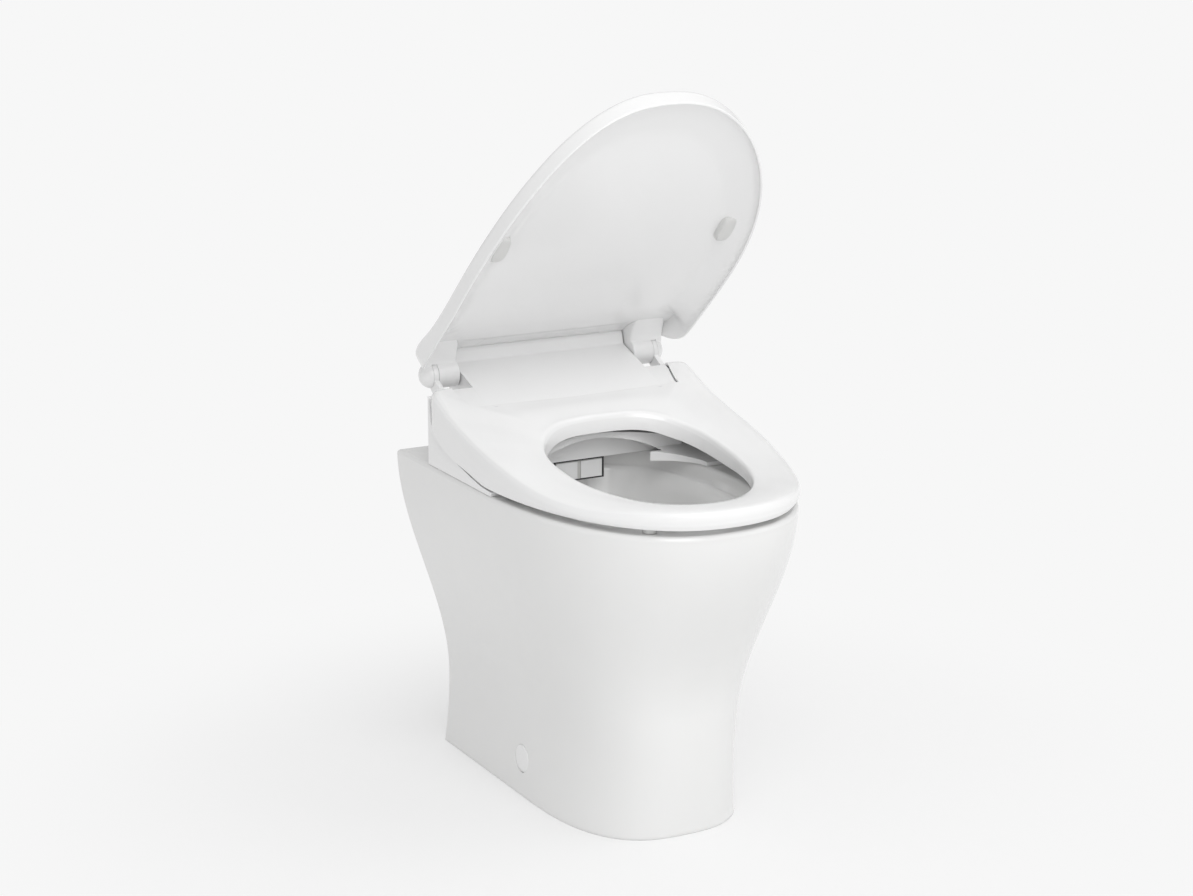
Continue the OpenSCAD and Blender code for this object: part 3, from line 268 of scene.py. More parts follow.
def along(table, x):  # cubic through (x, value) pairs, its slope at each the slope between the neighbours
    xs, ys = np.array(table, float).T
    slope = np.zeros(len(xs))
    slope[1:-1] = (ys[2:] - ys[:-2]) / (xs[2:] - xs[:-2])
    q = np.clip(x, xs[0], xs[-1])
    i = np.clip(np.searchsorted(xs, q, side="right") - 1, 0, len(xs) - 2)
    w = xs[i + 1] - xs[i]
    u = (q - xs[i]) / w
    return (ys[i] * (1 - 3 * u**2 + 2 * u**3) + ys[i + 1] * (3 * u**2 - 2 * u**3)
            + slope[i] * w * (u - 2 * u**2 + u**3) + slope[i + 1] * w * (u**3 - u**2))


def ringAngles(count):  # equal steps round a full turn
    return np.arange(count) * 2 * np.pi / count


def superRadius(t, a, b, n):  # radius in direction t where the nth powers of x over a and y over b add up to one
    return (np.abs(np.cos(t) / a) ** n + np.abs(np.sin(t) / b) ** n) ** (-1.0 / n)


def eggRadius(t, half, back, front, backPower, frontPower):  # one such curve behind and another in front
    return np.where(np.sin(t) > 0, superRadius(t, half, back, backPower), superRadius(t, half, front, frontPower))


def through(rows, steps):  # Catmull-Rom curve through rows of points (first axis), steps to a span
    p = np.concatenate([rows[:1] * 2 - rows[1:2], rows, rows[-1:] * 2 - rows[-2:-1]])
    a, b, c, d = p[:-3], p[1:-2], p[2:-1], p[3:]
    spans = [0.5 * (2 * b + (c - a) * u + (2 * a - 5 * b + 4 * c - d) * u**2 + (3 * b - a - 3 * c + d) * u**3)
             for u in np.arange(steps) / steps]
    return np.concatenate([np.stack(spans, axis=1).reshape(-1, *rows.shape[1:]), rows[-1:]])


def gridFaces(rows, cols, closedRows, closedCols):  # quads between neighbours, wrapped where closed
    r = np.arange(rows if closedRows else rows - 1)
    c = np.arange(cols if closedCols else cols - 1)
    r, c = (a.ravel() for a in np.meshgrid(r, c, indexing="ij"))
    r2, c2 = (r + 1) % rows, (c + 1) % cols
    return np.stack([r * cols + c, r * cols + c2, r2 * cols + c2, r2 * cols + c], axis=1)


def shade(mesh, name, sharp=35.0):  # smooth shading but for edges over the angle
    mesh.polygons.foreach_set("use_smooth", np.ones(len(mesh.polygons), bool))
    mesh.set_sharp_from_angle(angle=math.radians(sharp))
    obj = bpy.data.objects.new(name, mesh)
    bpy.context.scene.collection.objects.link(obj)
    return obj


def putMesh(name, points, faces, sharp=35.0):  # to metres, with doubles merged and faces turned outwards
    mesh = bpy.data.meshes.new(name)
    mesh.from_pydata((np.asarray(points).reshape(-1, 3) / 1000.0).tolist(), [], [list(map(int, f)) for f in faces])
    mesh.validate()
    edit = bmesh.new()
    edit.from_mesh(mesh)
    bmesh.ops.remove_doubles(edit, verts=edit.verts, dist=weld)
    bmesh.ops.dissolve_degenerate(edit, edges=edit.edges, dist=weld)
    bmesh.ops.recalc_face_normals(edit, faces=edit.faces)
    if edit.calc_volume(signed=True) < 0:
        bmesh.ops.reverse_faces(edit, faces=edit.faces)
    edit.to_mesh(mesh)
    edit.free()
    return shade(mesh, name, sharp)


def skin(name, rings, first=None, last=None, sharp=35.0):  # rings of equal length, with a fan to a pole at each end
    rows, cols = rings.shape[:2]
    first = rings[0].mean(axis=0) if first is None else first
    last = rings[-1].mean(axis=0) if last is None else last
    k, after = np.arange(cols), (np.arange(cols) + 1) % cols
    top = (rows - 1) * cols
    low = np.stack([np.full(cols, rows * cols), after, k], axis=1)
    high = np.stack([np.full(cols, rows * cols + 1), top + k, top + after], axis=1)
    faces = list(gridFaces(rows, cols, False, True)) + list(low) + list(high)
    return putMesh(name, np.concatenate([rings.reshape(-1, 3), [first, last]]), faces, sharp)


def hoop(name, sections, sharp=35.0):  # closed sections set round a closed ring
    return putMesh(name, sections, gridFaces(*sections.shape[:2], True, True), sharp)


def lathe(name, profile, centre, axis, count=72):  # (radius, reach) pairs turned round an axis and closed at both ends
    r, reach = np.array(profile, float).T
    t = ringAngles(count)
    across, up, forward = {"x": (1, 2, 0), "y": (2, 0, 1)}[axis]
    rings = np.zeros((len(r), count, 3))
    rings[..., across] = r[:, None] * np.cos(t)
    rings[..., up] = r[:, None] * np.sin(t)
    rings[..., forward] = reach[:, None]
    return skin(name, rings + np.array(centre, float))


def rod(name, radius, start, end, centre, axis, count=72):  # plain cylinder, for cutting with
    return lathe(name, [(radius, start), (radius, end)], centre, axis, count)


def block(name, low, high):  # plain box, for cutting with
    x, y, z = (np.array(pair, float) for pair in zip(low, high))
    points = np.stack(np.meshgrid(x, y, z, indexing="ij"), axis=-1).reshape(-1, 3)
    return putMesh(name, points, [(0, 1, 3, 2), (4, 6, 7, 5), (0, 4, 5, 1), (2, 3, 7, 6), (0, 2, 6, 4), (1, 5, 7, 3)])


def prism(name, low, high):  # two outlines of equal length joined by quads, each end one flat face
    n = len(low)
    k = np.arange(n)
    sides = np.stack([k, (k + 1) % n, (k + 1) % n + n, k + n], axis=1).tolist()
    return putMesh(name, np.concatenate([low, high]), sides + [list(range(n)), list(range(n, 2 * n))[::-1]])


def atHeight(outline, z):  # flat outline lifted to a height, which may differ from point to point
    return np.concatenate([outline, np.broadcast_to(z, outline.shape[:-1])[..., None]], axis=-1)


def drop(obj):
    mesh = obj.data
    bpy.data.objects.remove(obj)
    bpy.data.meshes.remove(mesh)


def carve(obj, tools, sharp=35.0, how="DIFFERENCE"):  # closed forms cut away, joined on or shared, and the result kept
    name = obj.name
    for tool in tools:
        cut = obj.modifiers.new("cut", "BOOLEAN")
        cut.operation, cut.solver, cut.object = how, "EXACT", tool
    bpy.context.view_layer.update()
    mesh = bpy.data.meshes.new_from_object(obj.evaluated_get(bpy.context.evaluated_depsgraph_get()))
    for used in [obj, *tools]:
        drop(used)
    made = shade(mesh, name, sharp)
    mesh.name = name
    return made


def joined(parts):  # several meshes as one piece, named after the first
    name = parts[0].name
    edit = bmesh.new()
    for part in parts:
        edit.from_mesh(part.data)
    mesh = bpy.data.meshes.new(name)
    edit.to_mesh(mesh)
    edit.free()
    for part in parts:
        drop(part)
    made = shade(mesh, name)
    made.name = name
    return made


def roundEdges(obj, width, segments, angle):
    edges = obj.modifiers.new("edges", "BEVEL")
    edges.width, edges.segments, edges.harden_normals = width, segments, True
    edges.limit_method, edges.angle_limit = "ANGLE", math.radians(angle)
    return obj


softEdges = {  # node: width of its rounded edges in metres, body
    "base_casing": (0.0008, "base"), "rear_cover": (0.0008, "base"), "nozzle_frame": (0.0003, "base"),
    "nozzle_block": (0.0006, "base"), "nozzle_door_left": (0.0003, "left_door"),
    "nozzle_door_right": (0.0003, "right_door"), "dryer_flap": (0.0002, "flap"), "release_button": (0.0004, "button")}


def softened(node, width, sharp=40.0):  # merged copy of a CAD node with its sharp edges rounded
    mesh = frame["nodes"][node].data.copy()
    mesh.transform(frame["nodes"][node].matrix_world)
    edit = bmesh.new()
    edit.from_mesh(mesh)
    bmesh.ops.remove_doubles(edit, verts=edit.verts, dist=2 * weld)
    bmesh.ops.dissolve_limit(edit, angle_limit=math.radians(0.5), verts=edit.verts, edges=edit.edges)
    edit.to_mesh(mesh)
    edit.free()
    return roundEdges(shade(mesh, node + "Skin", sharp), width, 2, sharp)


def finishPiece(obj, material, body, slotName, *nodes):  # its look, its body and the CAD nodes it stands in for
    obj.data.materials.clear()
    obj.data.materials.append(material)
    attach(obj, body)
    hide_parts(*nodes)


# Pan. Pairs are the values low down and at the rim, or behind and in front. The neck is where the bowl leaves the
# lip: how far it is drawn in, and its depth. The bowl's curve pairs the drawing in with the share of the height.
pan = {"rimHalf": 188.0, "waistHalf": 116.5, "waistZ": 100.0, "footFlare": 8.0, "rimBack": 10.0, "footBack": 116.0,
       "belly": 13.0, "bellyZ": 157.0, "arcRear": (240.0, 219.0), "arcPower": (2.78, 2.44), "skirt": 12.0,
       "deckThick": 20.0, "bowlWall": 10.0, "mouthHalf": 127.0, "mouthMiddle": 320.0, "mouthPower": (2.6, 2.1),
       "tipWidth": 41.0, "mouthRear": 117.0, "sumpRear": 222.0, "sumpZ": 98.0, "backGap": 88.0, "gapTop": 388.0,
       "rimRound": 6.0, "lipRound": 5.0, "footRound": 1.2, "neck": (0.985, 22.0), "underDrawn": 0.96,
       "innerZ": (340, 260, 180, 100, 40, 0), "backPoints": 9, "sidePoints": 26, "arcPoints": 76,
       "turnSteps": 9, "skirtSteps": 64, "bowlSteps": 60, "innermost": 0.05,
       "bowlCurve": [(0.0, 0.0), (0.22, 0.03), (0.36, 0.2), (0.5, 0.47), (0.68, 0.66), (0.84, 0.82), (0.94, 0.93)]}
trap = {"bore": 27.0, "entryZ": 128.0, "entryRear": 165.0, "inletZ": 345.0, "inletBore": 27.5, "inletReach": 60.0}
cap = {"z": 48.0, "rear": 224.0, "radius": 18.5, "thick": 3.0, "sunk": 0.4, "play": 0.2, "screwHole": 4.5,
       "screwReach": 30.0, "past": 20.0, "edgeAt": 0.6, "edgeIn": 1.4, "edgeUp": 1.2, "dome": 0.25}
mouthY = wall - pan["mouthMiddle"]
capPlace = (0.0, wall - cap["rear"], cap["z"])


def panHalf(z):  # half width: waist to rim by a smooth step, and a small flare to the foot with the square of the depth
    rise = smooth((z - pan["waistZ"]) / (full["deck"] - pan["waistZ"]))
    low = pan["waistHalf"] + pan["footFlare"] * (np.clip(pan["waistZ"] - z, 0, None) / pan["waistZ"]) ** 2
    return np.where(z > pan["waistZ"], mix(pan["waistHalf"], pan["rimHalf"], rise), low)


def panFront(z):  # smooth step from the belly's height to the deck
    return smooth((z - pan["bellyZ"]) / (full["deck"] - pan["bellyZ"]))


def panTip(z):  # front of the pan: a small bulge low down, then a smooth step out to the rim
    foot = -wall + pan["footBack"]
    low = foot - pan["belly"] + pan["belly"] * (np.clip(pan["bellyZ"] - z, 0, None) / pan["bellyZ"]) ** 2
    return np.where(z > pan["bellyZ"], mix(foot - pan["belly"], -wall + pan["rimBack"], panFront(z)), low)


def panRings(zs, inset, shownZ=None):  # each ring: the back edge, a straight side and a superellipse to the front
    z = np.atleast_1d(np.asarray(zs, float))[:, None]
    inset = np.broadcast_to(np.asarray(inset, float), z[:, 0].shape)[:, None]
    w, y1 = panHalf(z) - inset, wall - inset
    ya, n = wall - mix(*pan["arcRear"], panFront(z)), mix(*pan["arcPower"], panFront(z))
    d = ya - panTip(z) - inset
    back, side = (np.arange(pan[key]) / pan[key] for key in ("backPoints", "sidePoints"))
    t = np.pi / 2 * np.arange(pan["arcPoints"] + 1) / pan["arcPoints"]
    x = np.concatenate([w * back, w * np.ones_like(side), w * np.clip(np.cos(t), 0, None) ** (2 / n)], axis=1)
    y = np.concatenate([y1 * np.ones_like(back), mix(y1, ya, side), ya - d * np.sin(t) ** (2 / n)], axis=1)
    shown = z if shownZ is None else np.atleast_1d(np.asarray(shownZ, float))[:, None]
    half = atHeight(np.stack([x, y], axis=-1), shown)
    return np.concatenate([half, half[:, -2:0:-1] * (-1, 1, 1)], axis=1)


def bowlRings(z, k, grow):  # the mouth's egg, drawn in towards the sump by k and widened by grow
    z, k, grow = np.broadcast_arrays(*(np.atleast_1d(np.asarray(a, float))[:, None] for a in (z, k, grow)))
    rim = panRings([full["deck"]], 0.0)[0]
    t = np.arctan2(rim[:, 1] - mouthY, rim[:, 0])
    back = pan["mouthMiddle"] - pan["mouthRear"]
    front = full["depth"] - pan["rimBack"] - pan["tipWidth"] - pan["mouthMiddle"]
    r = eggRadius(t, pan["mouthHalf"], back, front, *pan["mouthPower"]) * k + grow
    x, y = r * np.cos(t), mix(wall - pan["sumpRear"], mouthY, k) + r * np.sin(t)
    return atHeight(np.stack([x, y], axis=-1), z)


def capFace():  # how far from the middle a side cap's face lies
    return float(panHalf(cap["z"])) - cap["sunk"]


def makePan():  # underside of the bowl, inside and outside of the skirt, rim, lip and bowl, as one closed skin
    deck, foot, rim, lip = full["deck"], pan["footRound"], pan["rimRound"], pan["lipRound"]
    height, (neck, neckDepth) = deck - pan["sumpZ"], pan["neck"]
    turn = np.linspace(0, np.pi / 2, pan["turnSteps"])
    levels = np.concatenate([[0.0, foot], np.linspace(5, deck - rim - 1, pan["skirtSteps"])])
    outer = panRings(levels, np.where(levels > 0, 0.0, foot))
    overRim = panRings(np.full_like(turn, deck), rim * (1 - np.cos(turn)), deck - rim * (1 - np.sin(turn)))
    overLip = bowlRings(deck - lip * (1 - np.cos(turn)), 1.0, lip * (1 - np.sin(turn)))
    ks = np.concatenate([np.linspace(1.0, neck, 5)[1:], np.linspace(neck, pan["innermost"], pan["bowlSteps"])[1:]])
    table = pan["bowlCurve"] + [(neck, 1 - neckDepth / height), (1.0, 1 - lip / height)]
    bowl = bowlRings(mix(pan["sumpZ"], deck, along(table, ks)), ks, 0.0)
    drawn, risen = np.array(pan["bowlCurve"][1:5]).T
    below = bowlRings(mix(pan["sumpZ"], deck, risen) - pan["bowlWall"] * 0.4, drawn, pan["bowlWall"])
    under = bowlRings([deck - pan["deckThick"]], pan["underDrawn"], pan["bowlWall"] + 6)
    inner = panRings([deck - pan["deckThick"], *pan["innerZ"]], pan["skirt"])
    rings = np.concatenate([below, under, inner, outer, overRim, overLip, bowl])
    sumpY = wall - pan["sumpRear"]
    body = skin("panGlaze", rings, (0, sumpY, pan["sumpZ"] - pan["bowlWall"]), (0, sumpY, pan["sumpZ"]), 50.0)
    inletY = wall - pan["mouthRear"] - trap["inletReach"]
    tools = [block("gap", (-pan["backGap"], wall - pan["skirt"] - 1, -1), (pan["backGap"], wall + 1, pan["gapTop"])),
             rod("trapHole", trap["bore"], sumpY, wall - trap["entryRear"] + 1, (0, 0, trap["entryZ"]), "y"),
             rod("inletHole", trap["inletBore"], inletY, wall, (0, 0, trap["inletZ"]), "y")]
    for side in (-1, 1):
        inside, past = side * (capFace() - cap["screwReach"]), side * (capFace() + cap["past"])
        seatRadius, seatFloor = cap["radius"] + cap["play"], side * (capFace() - cap["thick"])
        tools.append(rod("capSeat", seatRadius, seatFloor, past, capPlace, "x"))
        tools.append(rod("screwHole", cap["screwHole"], inside, past, capPlace, "x"))
    return carve(body, tools, 50.0)


def makeCaps():  # round covers over the side screws, slightly domed, with a soft edge
    face, r, edge = capFace(), cap["radius"], cap["edgeAt"]
    turn = np.linspace(0, np.pi / 2, 8)[1:]
    profile = [(r, face - cap["thick"]), (r, face - edge)]
    profile += [(r - cap["edgeIn"] * (1 - math.cos(a)), face - edge + cap["edgeUp"] * math.sin(a)) for a in turn]
    profile += [(r * s, face + edge + cap["dome"] * (1 - s * s)) for s in (0.7, 0.4, 0.1)]
    return joined([lathe(name, [(a, side * b) for a, b in profile], capPlace, "x")
                   for name, side in (("sideCaps", 1), ("capLeft", -1))])


# Seat. The tables give heights over the deck against the distance from the wall.
seat = {"half": 190.0, "rear": 103.0, "sideRear": 235.0, "backPower": 24.0, "power": 2.25, "wall": 3.2,
        "holeHalf": 115.0, "holeMiddle": 325.0, "holeRear": 215.0, "holePower": (2.4, 2.1), "tipWidth": 57.0,
        "crown": 3.0, "seam": 1.6, "sag": 4.1, "sagFrom": 0.15, "sagOver": 0.5, "flare": 5.0, "flareFrom": 130.0,
        "flareOver": 100.0, "columns": 288, "steps": 5,
        "edge": [(103, 101), (122, 94.5), (168, 77), (233, 60), (300, 46.5), (382, 31), (436, 25.5), (478, 25),
                 (518, 28), (563, 30.5)],
        "under": [(96, 90), (99, 66), (105, 53), (122, 43), (158, 27), (205, 16), (248, 8.2), (272, 6.8), (563, 6.8)],
        "holeTop": [(215, 72), (260, 58), (320, 44), (400, 33), (506, 27.5)],
        "holeUnder": [(215, 47), (250, 35), (300, 23), (360, 17), (506, 15)],
        # across the seat: shares of the width from an edge with depths, and on top with shares of crown and sag
        "innerEdge": [(0.0, 9.0), (0.03, 2.5), (0.1, 0.0)], "outerEdge": [(0.015, 2.5), (0.0, 8.0)],
        "top": [(0.3, 0.7, 0.55), (0.55, 1.0, 1.0), (0.8, 0.8, 0.55)], "shoulder": (0.06, 0.2), "side": (0.3, 0.6)}
lug = {"slot": (159.0, 166.4), "slotRear": (96.0, 117.0), "slotUp": (62.0, 92.0), "disc": (159.6, 165.8),
       "play": 0.05, "bore": 12.0, "boreReach": (150.0, 180.0), "edge": 0.0004}
holeY = wall - seat["holeMiddle"]


def sideOutline(t, grow, rear, backPower):  # plan of seat and lid: nearly square behind, a full curve in front
    back, front = seat["sideRear"] - rear, full["depth"] + grow - seat["sideRear"]
    r = eggRadius(t, seat["half"] + grow, back, front, backPower, seat["power"])
    return np.stack([r * np.cos(t), wall - seat["sideRear"] + r * np.sin(t)], axis=-1)


def holeRing(outer):  # the opening's edge, in line with the outer point
    t = np.arctan2(outer[:, 1] - holeY, outer[:, 0])
    back, front = seat["holeMiddle"] - seat["holeRear"], full["depth"] - seat["tipWidth"] - seat["holeMiddle"]
    r = eggRadius(t, seat["holeHalf"], back, front, *seat["holePower"])
    return np.stack([r * np.cos(t), holeY + r * np.sin(t)], axis=-1)


def seatSections(inset):  # across the seat: inner foot, rounded inner edge, crowned top, rounded outer edge, foot
    t = ringAngles(seat["columns"])
    outer = sideOutline(t, 0.0, seat["rear"], seat["backPower"])
    inner = holeRing(outer)
    reach = np.linalg.norm(outer - inner, axis=1)
    across = (outer - inner) / reach[:, None]
    outerRear, innerRear = wall - outer[:, 1], wall - inner[:, 1]
    zo, zi = along(seat["edge"], outerRear) - inset, along(seat["holeTop"], innerRear) - inset
    fo, fi = along(seat["under"], outerRear) + seat["seam"], along(seat["holeUnder"], innerRear)
    crown = seat["crown"] * (1 - np.clip(np.sin(t), 0, None))
    sag = seat["sag"] * smooth((np.sin(t) - seat["sagFrom"]) / seat["sagOver"])  # behind, before the cover's front
    a, b = inset / reach, 1 - inset / reach
    lean = seat["flare"] * smooth((outerRear - seat["flareFrom"]) / seat["flareOver"]) / reach
    (shoulderIn, shoulderCrown), (sideLean, sideDrop) = seat["shoulder"], seat["side"]
    edgeIn, edgeDrop = seat["outerEdge"][-1]
    spots = [(a, fi)] + [(a + share, zi - down) for share, down in seat["innerEdge"]]  # share across, height over deck
    spots += [(np.full_like(t, share), mix(zi, zo, share) + crown * high - sag * low)
              for share, high, low in seat["top"]]
    spots += [(b - shoulderIn, zo + crown * shoulderCrown)]
    spots += [(b - share, zo - down) for share, down in seat["outerEdge"]]
    spots += [(b - edgeIn - sideLean * lean, mix(zo - edgeDrop, fo, sideDrop)), (b - lean, fo)]
    q, z = np.array([s[0] for s in spots]), np.array([s[1] for s in spots])
    rows = atHeight(inner[None] + across[None] * (reach * q)[..., None], full["deck"] + z)
    fine = through(rows[1:-1], seat["steps"])
    return np.swapaxes(np.concatenate([rows[:1], fine, rows[-1:]]), 0, 1)


def lugSlot(side):  # room in the seat's back edge for the hinge arm
    near, far = sorted(side * x for x in lug["slot"])
    (back, ahead), (low, high) = lug["slotRear"], lug["slotUp"]
    return block("lugSlot", (near, wall - ahead, full["deck"] + low), (far, wall - back, full["deck"] + high))


def makeSeat():  # outer skin and inner skin as one hollow ring, with the cover's room cut out
    sections = np.concatenate([seatSections(0.0), seatSections(seat["wall"])[:, ::-1]], axis=1)
    return carve(hoop("seatRing", sections, 40.0), [coverRoom(), lugSlot(1), lugSlot(-1)])


def makeSeatFloor():  # the lower shell, its hinge discs filled out to the line of the ears
    discs = []
    for side in (-1, 1):
        x = np.linspace(*lug["disc"], 6)
        profile = list(zip(earRadius(x) - lug["play"], side * x))
        bore = rod("bore", lug["bore"], *(side * reach for reach in lug["boreReach"]), hingeMiddle, "x", 48)
        discs.append(carve(lathe("lugDisc", profile, hingeMiddle, "x", ear["columns"]), [bore]))
    return joined([softened("seat_base", lug["edge"])] + discs)


# Lid, drawn shut and turned to its stored opening. Each zone is the distance from the wall where it starts, how far
# it takes to come in full towards the wall, and the same for the distance from the middle.
lid = {"over": 4.2, "wall": 3.4, "back": 42.0, "backPower": 8.5, "mid": 240.0, "columns": 384, "edgeRound": 0.047,
       "edgeShare": 0.62, "taper": 0.06, "taperFrom": 104.0, "taperOver": 45.0, "fall": 8.0, "tightBehind": 0.8,
       "tightCorner": 0.86, "tightRise": 2.5, "softAbove": 0.9, "tightAbove": 0.78, "outerSteps": (12, 14),
       "topSteps": 50, "underSteps": 40, "innermost": 0.05, "roomInset": 0.4, "roomFoot": 60.0, "roomSteps": (2, 8),
       "roomTop": (0.9, 0.7, 0.4, 0.1),
       "zones": {"corner": (135.0, 60.0, 80.0, 70.0), "behind": (75.0, 25.0, 150.0, -30.0),
                 "fall": (115.0, 50.0, 128.0, 45.0)},
       "slope": [(1, 0), (1, 0.14), (0.985, 0.3), (0.94, 0.53), (0.89, 0.75), (0.845, 0.92), (0.815, 0.985), (0.79, 1)],
       "lip": [(0.15, 0.5), (0.5, 0.9), (0.85, 0.5)],
       "edge": [(42, 141), (50, 132), (58, 128), (66, 126), (72, 119), (80, 104), (90, 92.5), (103, 85.5), (156, 70.3),
                (232, 50.7), (306, 35.2), (380, 24.5), (455, 20.2), (515, 23), (545, 26.5), (567, 29)],
       "crest": [(42, 146), (62, 150), (80, 141), (103, 125), (156, 100), (232, 78), (306, 62), (380, 51.5),
                 (455, 47.2), (515, 50), (545, 54), (567, 58)]}
lidMiddle = np.array([0.0, wall - lid["mid"]])


def openLid(points):  # turned about the hinge line from shut to the stored opening
    c, s = math.cos(math.radians(full["lidOpen"])), math.sin(math.radians(full["lidOpen"]))
    x, y, z = np.moveaxis(np.asarray(points, float), -1, 0)
    y, z = y - hingeY, z - hingeZ
    return np.stack([x, hingeY + y * c + z * s, hingeZ - y * s + z * c], axis=-1)


def turnedLid():  # the same turn as openLid, for a mesh in metres
    centre = Matrix.Translation((0, hingeY / 1000, hingeZ / 1000))
    return centre @ Matrix.Rotation(-math.radians(full["lidOpen"]), 4, "X") @ centre.inverted()


def lidTop(r):  # height of the lid's top at a distance from the wall
    return full["deck"] + along(lid["crest"], r)


def zone(name, xy):  # a smooth step towards the wall times a smooth step outwards
    rearStart, rearSpan, sideStart, sideSpan = lid["zones"][name]
    towardsWall = smooth((rearStart - (wall - xy[..., 1])) / rearSpan)
    return towardsWall * smooth((np.abs(xy[..., 0]) - sideStart) / sideSpan)


def lidRings(ks, hs, inset, soft=0.0):  # each ring is the outline drawn in by k, at share h from the edge to the top
    p = sideOutline(ringAngles(lid["columns"]), lid["over"], lid["back"], lid["backPower"])
    p[:, 0] *= 1 - lid["taper"] * smooth((lid["taperFrom"] - (wall - p[:, 1])) / lid["taperOver"])
    reach = np.linalg.norm(p - lidMiddle, axis=1)
    corner = zone("corner", p)
    k, h = np.asarray(ks, float)[:, None], np.asarray(hs, float)[:, None]
    k = 1 - (1 - k) * (1 + soft * corner * (k > lid["softAbove"]))
    if inset >= lid["wall"]:  # the inner surface follows the outer one closely behind and at the corners
        atCorner = lid["tightCorner"] * np.clip(lid["tightRise"] * corner, 0, 1)
        tight = np.maximum(lid["tightBehind"] * zone("behind", p), atCorner)
        k = np.where(k > lid["tightAbove"], 1 - (1 - k) * (1 - tight), k)
    q = lidMiddle + (p - lidMiddle)[None] * (k * (reach - inset) / reach)[..., None]
    top = lidTop(wall - q[..., 1]) - inset - lid["fall"] * zone("fall", q)
    edge = full["deck"] + along(lid["edge"], wall - p[:, 1])
    return atHeight(q, mix(edge[None], top, h))


def lidPath(sideSteps, turnSteps, tops):  # k and h up the outer wall, round a quarter turn and in over the top
    turn, share = np.linspace(0, np.pi / 2, turnSteps)[1:], lid["edgeShare"]
    k = np.concatenate([np.ones(sideSteps), 1 - lid["edgeRound"] * (1 - np.cos(turn)), tops])
    h = np.concatenate([np.linspace(0, share, sideSteps), share + (1 - share) * np.sin(turn), np.ones(len(tops))])
    return k, h


def makeLid():  # the outside has a tight rounding to the top, the inside a wide one
    tops = np.linspace(1 - lid["edgeRound"], lid["innermost"], lid["topSteps"])[1:]
    k, h = lidPath(*lid["outerSteps"], tops)
    slope = through(np.array(lid["slope"], float), 4)
    inward = np.linspace(slope[-1, 0], lid["innermost"], lid["underSteps"])[1:]
    kIn, hIn = np.concatenate([slope[:, 0], inward]), np.concatenate([slope[:, 1], np.ones_like(inward)])
    lip = [lidRings([1.0], [0.0], lid["wall"] * share) - (0, 0, depth) for share, depth in lid["lip"]]
    rings = np.concatenate([lidRings(k, h, 0.0, 1.0)[::-1], *lip, lidRings(kIn, hIn, lid["wall"])])
    poles = openLid([(*lidMiddle, lidTop(lid["mid"]) - depth) for depth in (0.0, lid["wall"])])
    return skin("lidBowl", openLid(rings), *poles, 50.0)


def lidRoom():  # the lid's outer form made solid and drawn down past the hinge line
    rings = lidRings(*lidPath(*lid["roomSteps"], lid["roomTop"]), lid["roomInset"], 1.0)
    low = atHeight(rings[:1, :, :2], full["deck"] + lid["roomFoot"])
    crown = openLid((*lidMiddle, lidTop(lid["mid"]) - lid["roomInset"]))
    return skin("lidRoom", openLid(np.concatenate([low, rings])), last=crown)


# Hinge ears of the lid. Reaches are distances from the middle.
ear = {"inner": 129.0, "round": 156.0, "end": 179.0, "radius": 18.0, "power": 2.5, "slotRadius": 18.8,
       "neckX": 153.4, "neckHalf": 24.5, "neckPower": 3.4, "neckBack": 44.0, "neckFront": (76.0, 112.0),
       "neckTop": 142.0, "neckRise": (34.0, 11.0, 1.6), "neckRings": 16, "voxel": 0.0007, "evenings": 14,
       "steps": 16, "columns": 96,
       "innerEdge": [(1.4, 0.0), (0.7, 0.2), (0.2, 0.7), (0.0, 1.4)]}


def earRadius(x):  # full radius up to round, then a superellipse that closes at end
    share = np.clip((x - ear["round"]) / (ear["end"] - ear["round"]), 0, 1)
    return ear["radius"] * (1 - share ** ear["power"]) ** (1 / ear["power"])


def earEgg(side):  # an egg round the hinge line, in the pose of the stored lid
    x = mix(ear["round"], ear["end"], np.sin(np.linspace(0, np.pi / 2, ear["steps"])))[:-1]
    profile = [(ear["radius"] - less, ear["inner"] + outwards) for less, outwards in ear["innerEdge"]]
    profile += list(zip(earRadius(x), x))
    egg = lathe("egg", [(r, side * reach) for r, reach in profile], hingeMiddle, "x", ear["columns"])
    egg.data.transform(turnedLid())
    return egg


def earNeck(side):  # rounded rings that reach further forward as they rise, kept inside the lid's outer form
    t = ringAngles(120)
    levels = np.linspace(full["hingeUp"], ear["neckTop"], ear["neckRings"])
    (least, most), (gain, step, power) = ear["neckFront"], ear["neckRise"]
    front = np.minimum(least + gain * ((levels - full["hingeUp"]) / step) ** power, most)[:, None]
    reach = superRadius(t, ear["neckHalf"], (front - ear["neckBack"]) / 2, ear["neckPower"])
    x = side * ear["neckX"] + reach * np.cos(t)
    y = wall - (front + ear["neckBack"]) / 2 + reach * np.sin(t)
    rings = openLid(atHeight(np.stack([x, y], axis=-1), full["deck"] + levels[:, None]))
    return carve(skin("neck", rings), [lidRoom()], how="INTERSECT")


def makeEars():  # an egg on the hinge line melted into a neck, with a slot for the seat's hinge disc
    ears = []
    for side in (-1, 1):
        whole = carve(earEgg(side), [earNeck(side)], 60.0, "UNION")
        melt = whole.modifiers.new("melt", "REMESH")
        melt.mode, melt.voxel_size = "VOXEL", ear["voxel"]
        even = whole.modifiers.new("even", "SMOOTH")
        even.factor, even.iterations = 0.5, ear["evenings"]
        slot = rod("slot", ear["slotRadius"], *(side * x for x in lug["slot"]), hingeMiddle, "x", ear["columns"])
        ears.append(carve(whole, [slot], 50.0))
    return joined(ears)


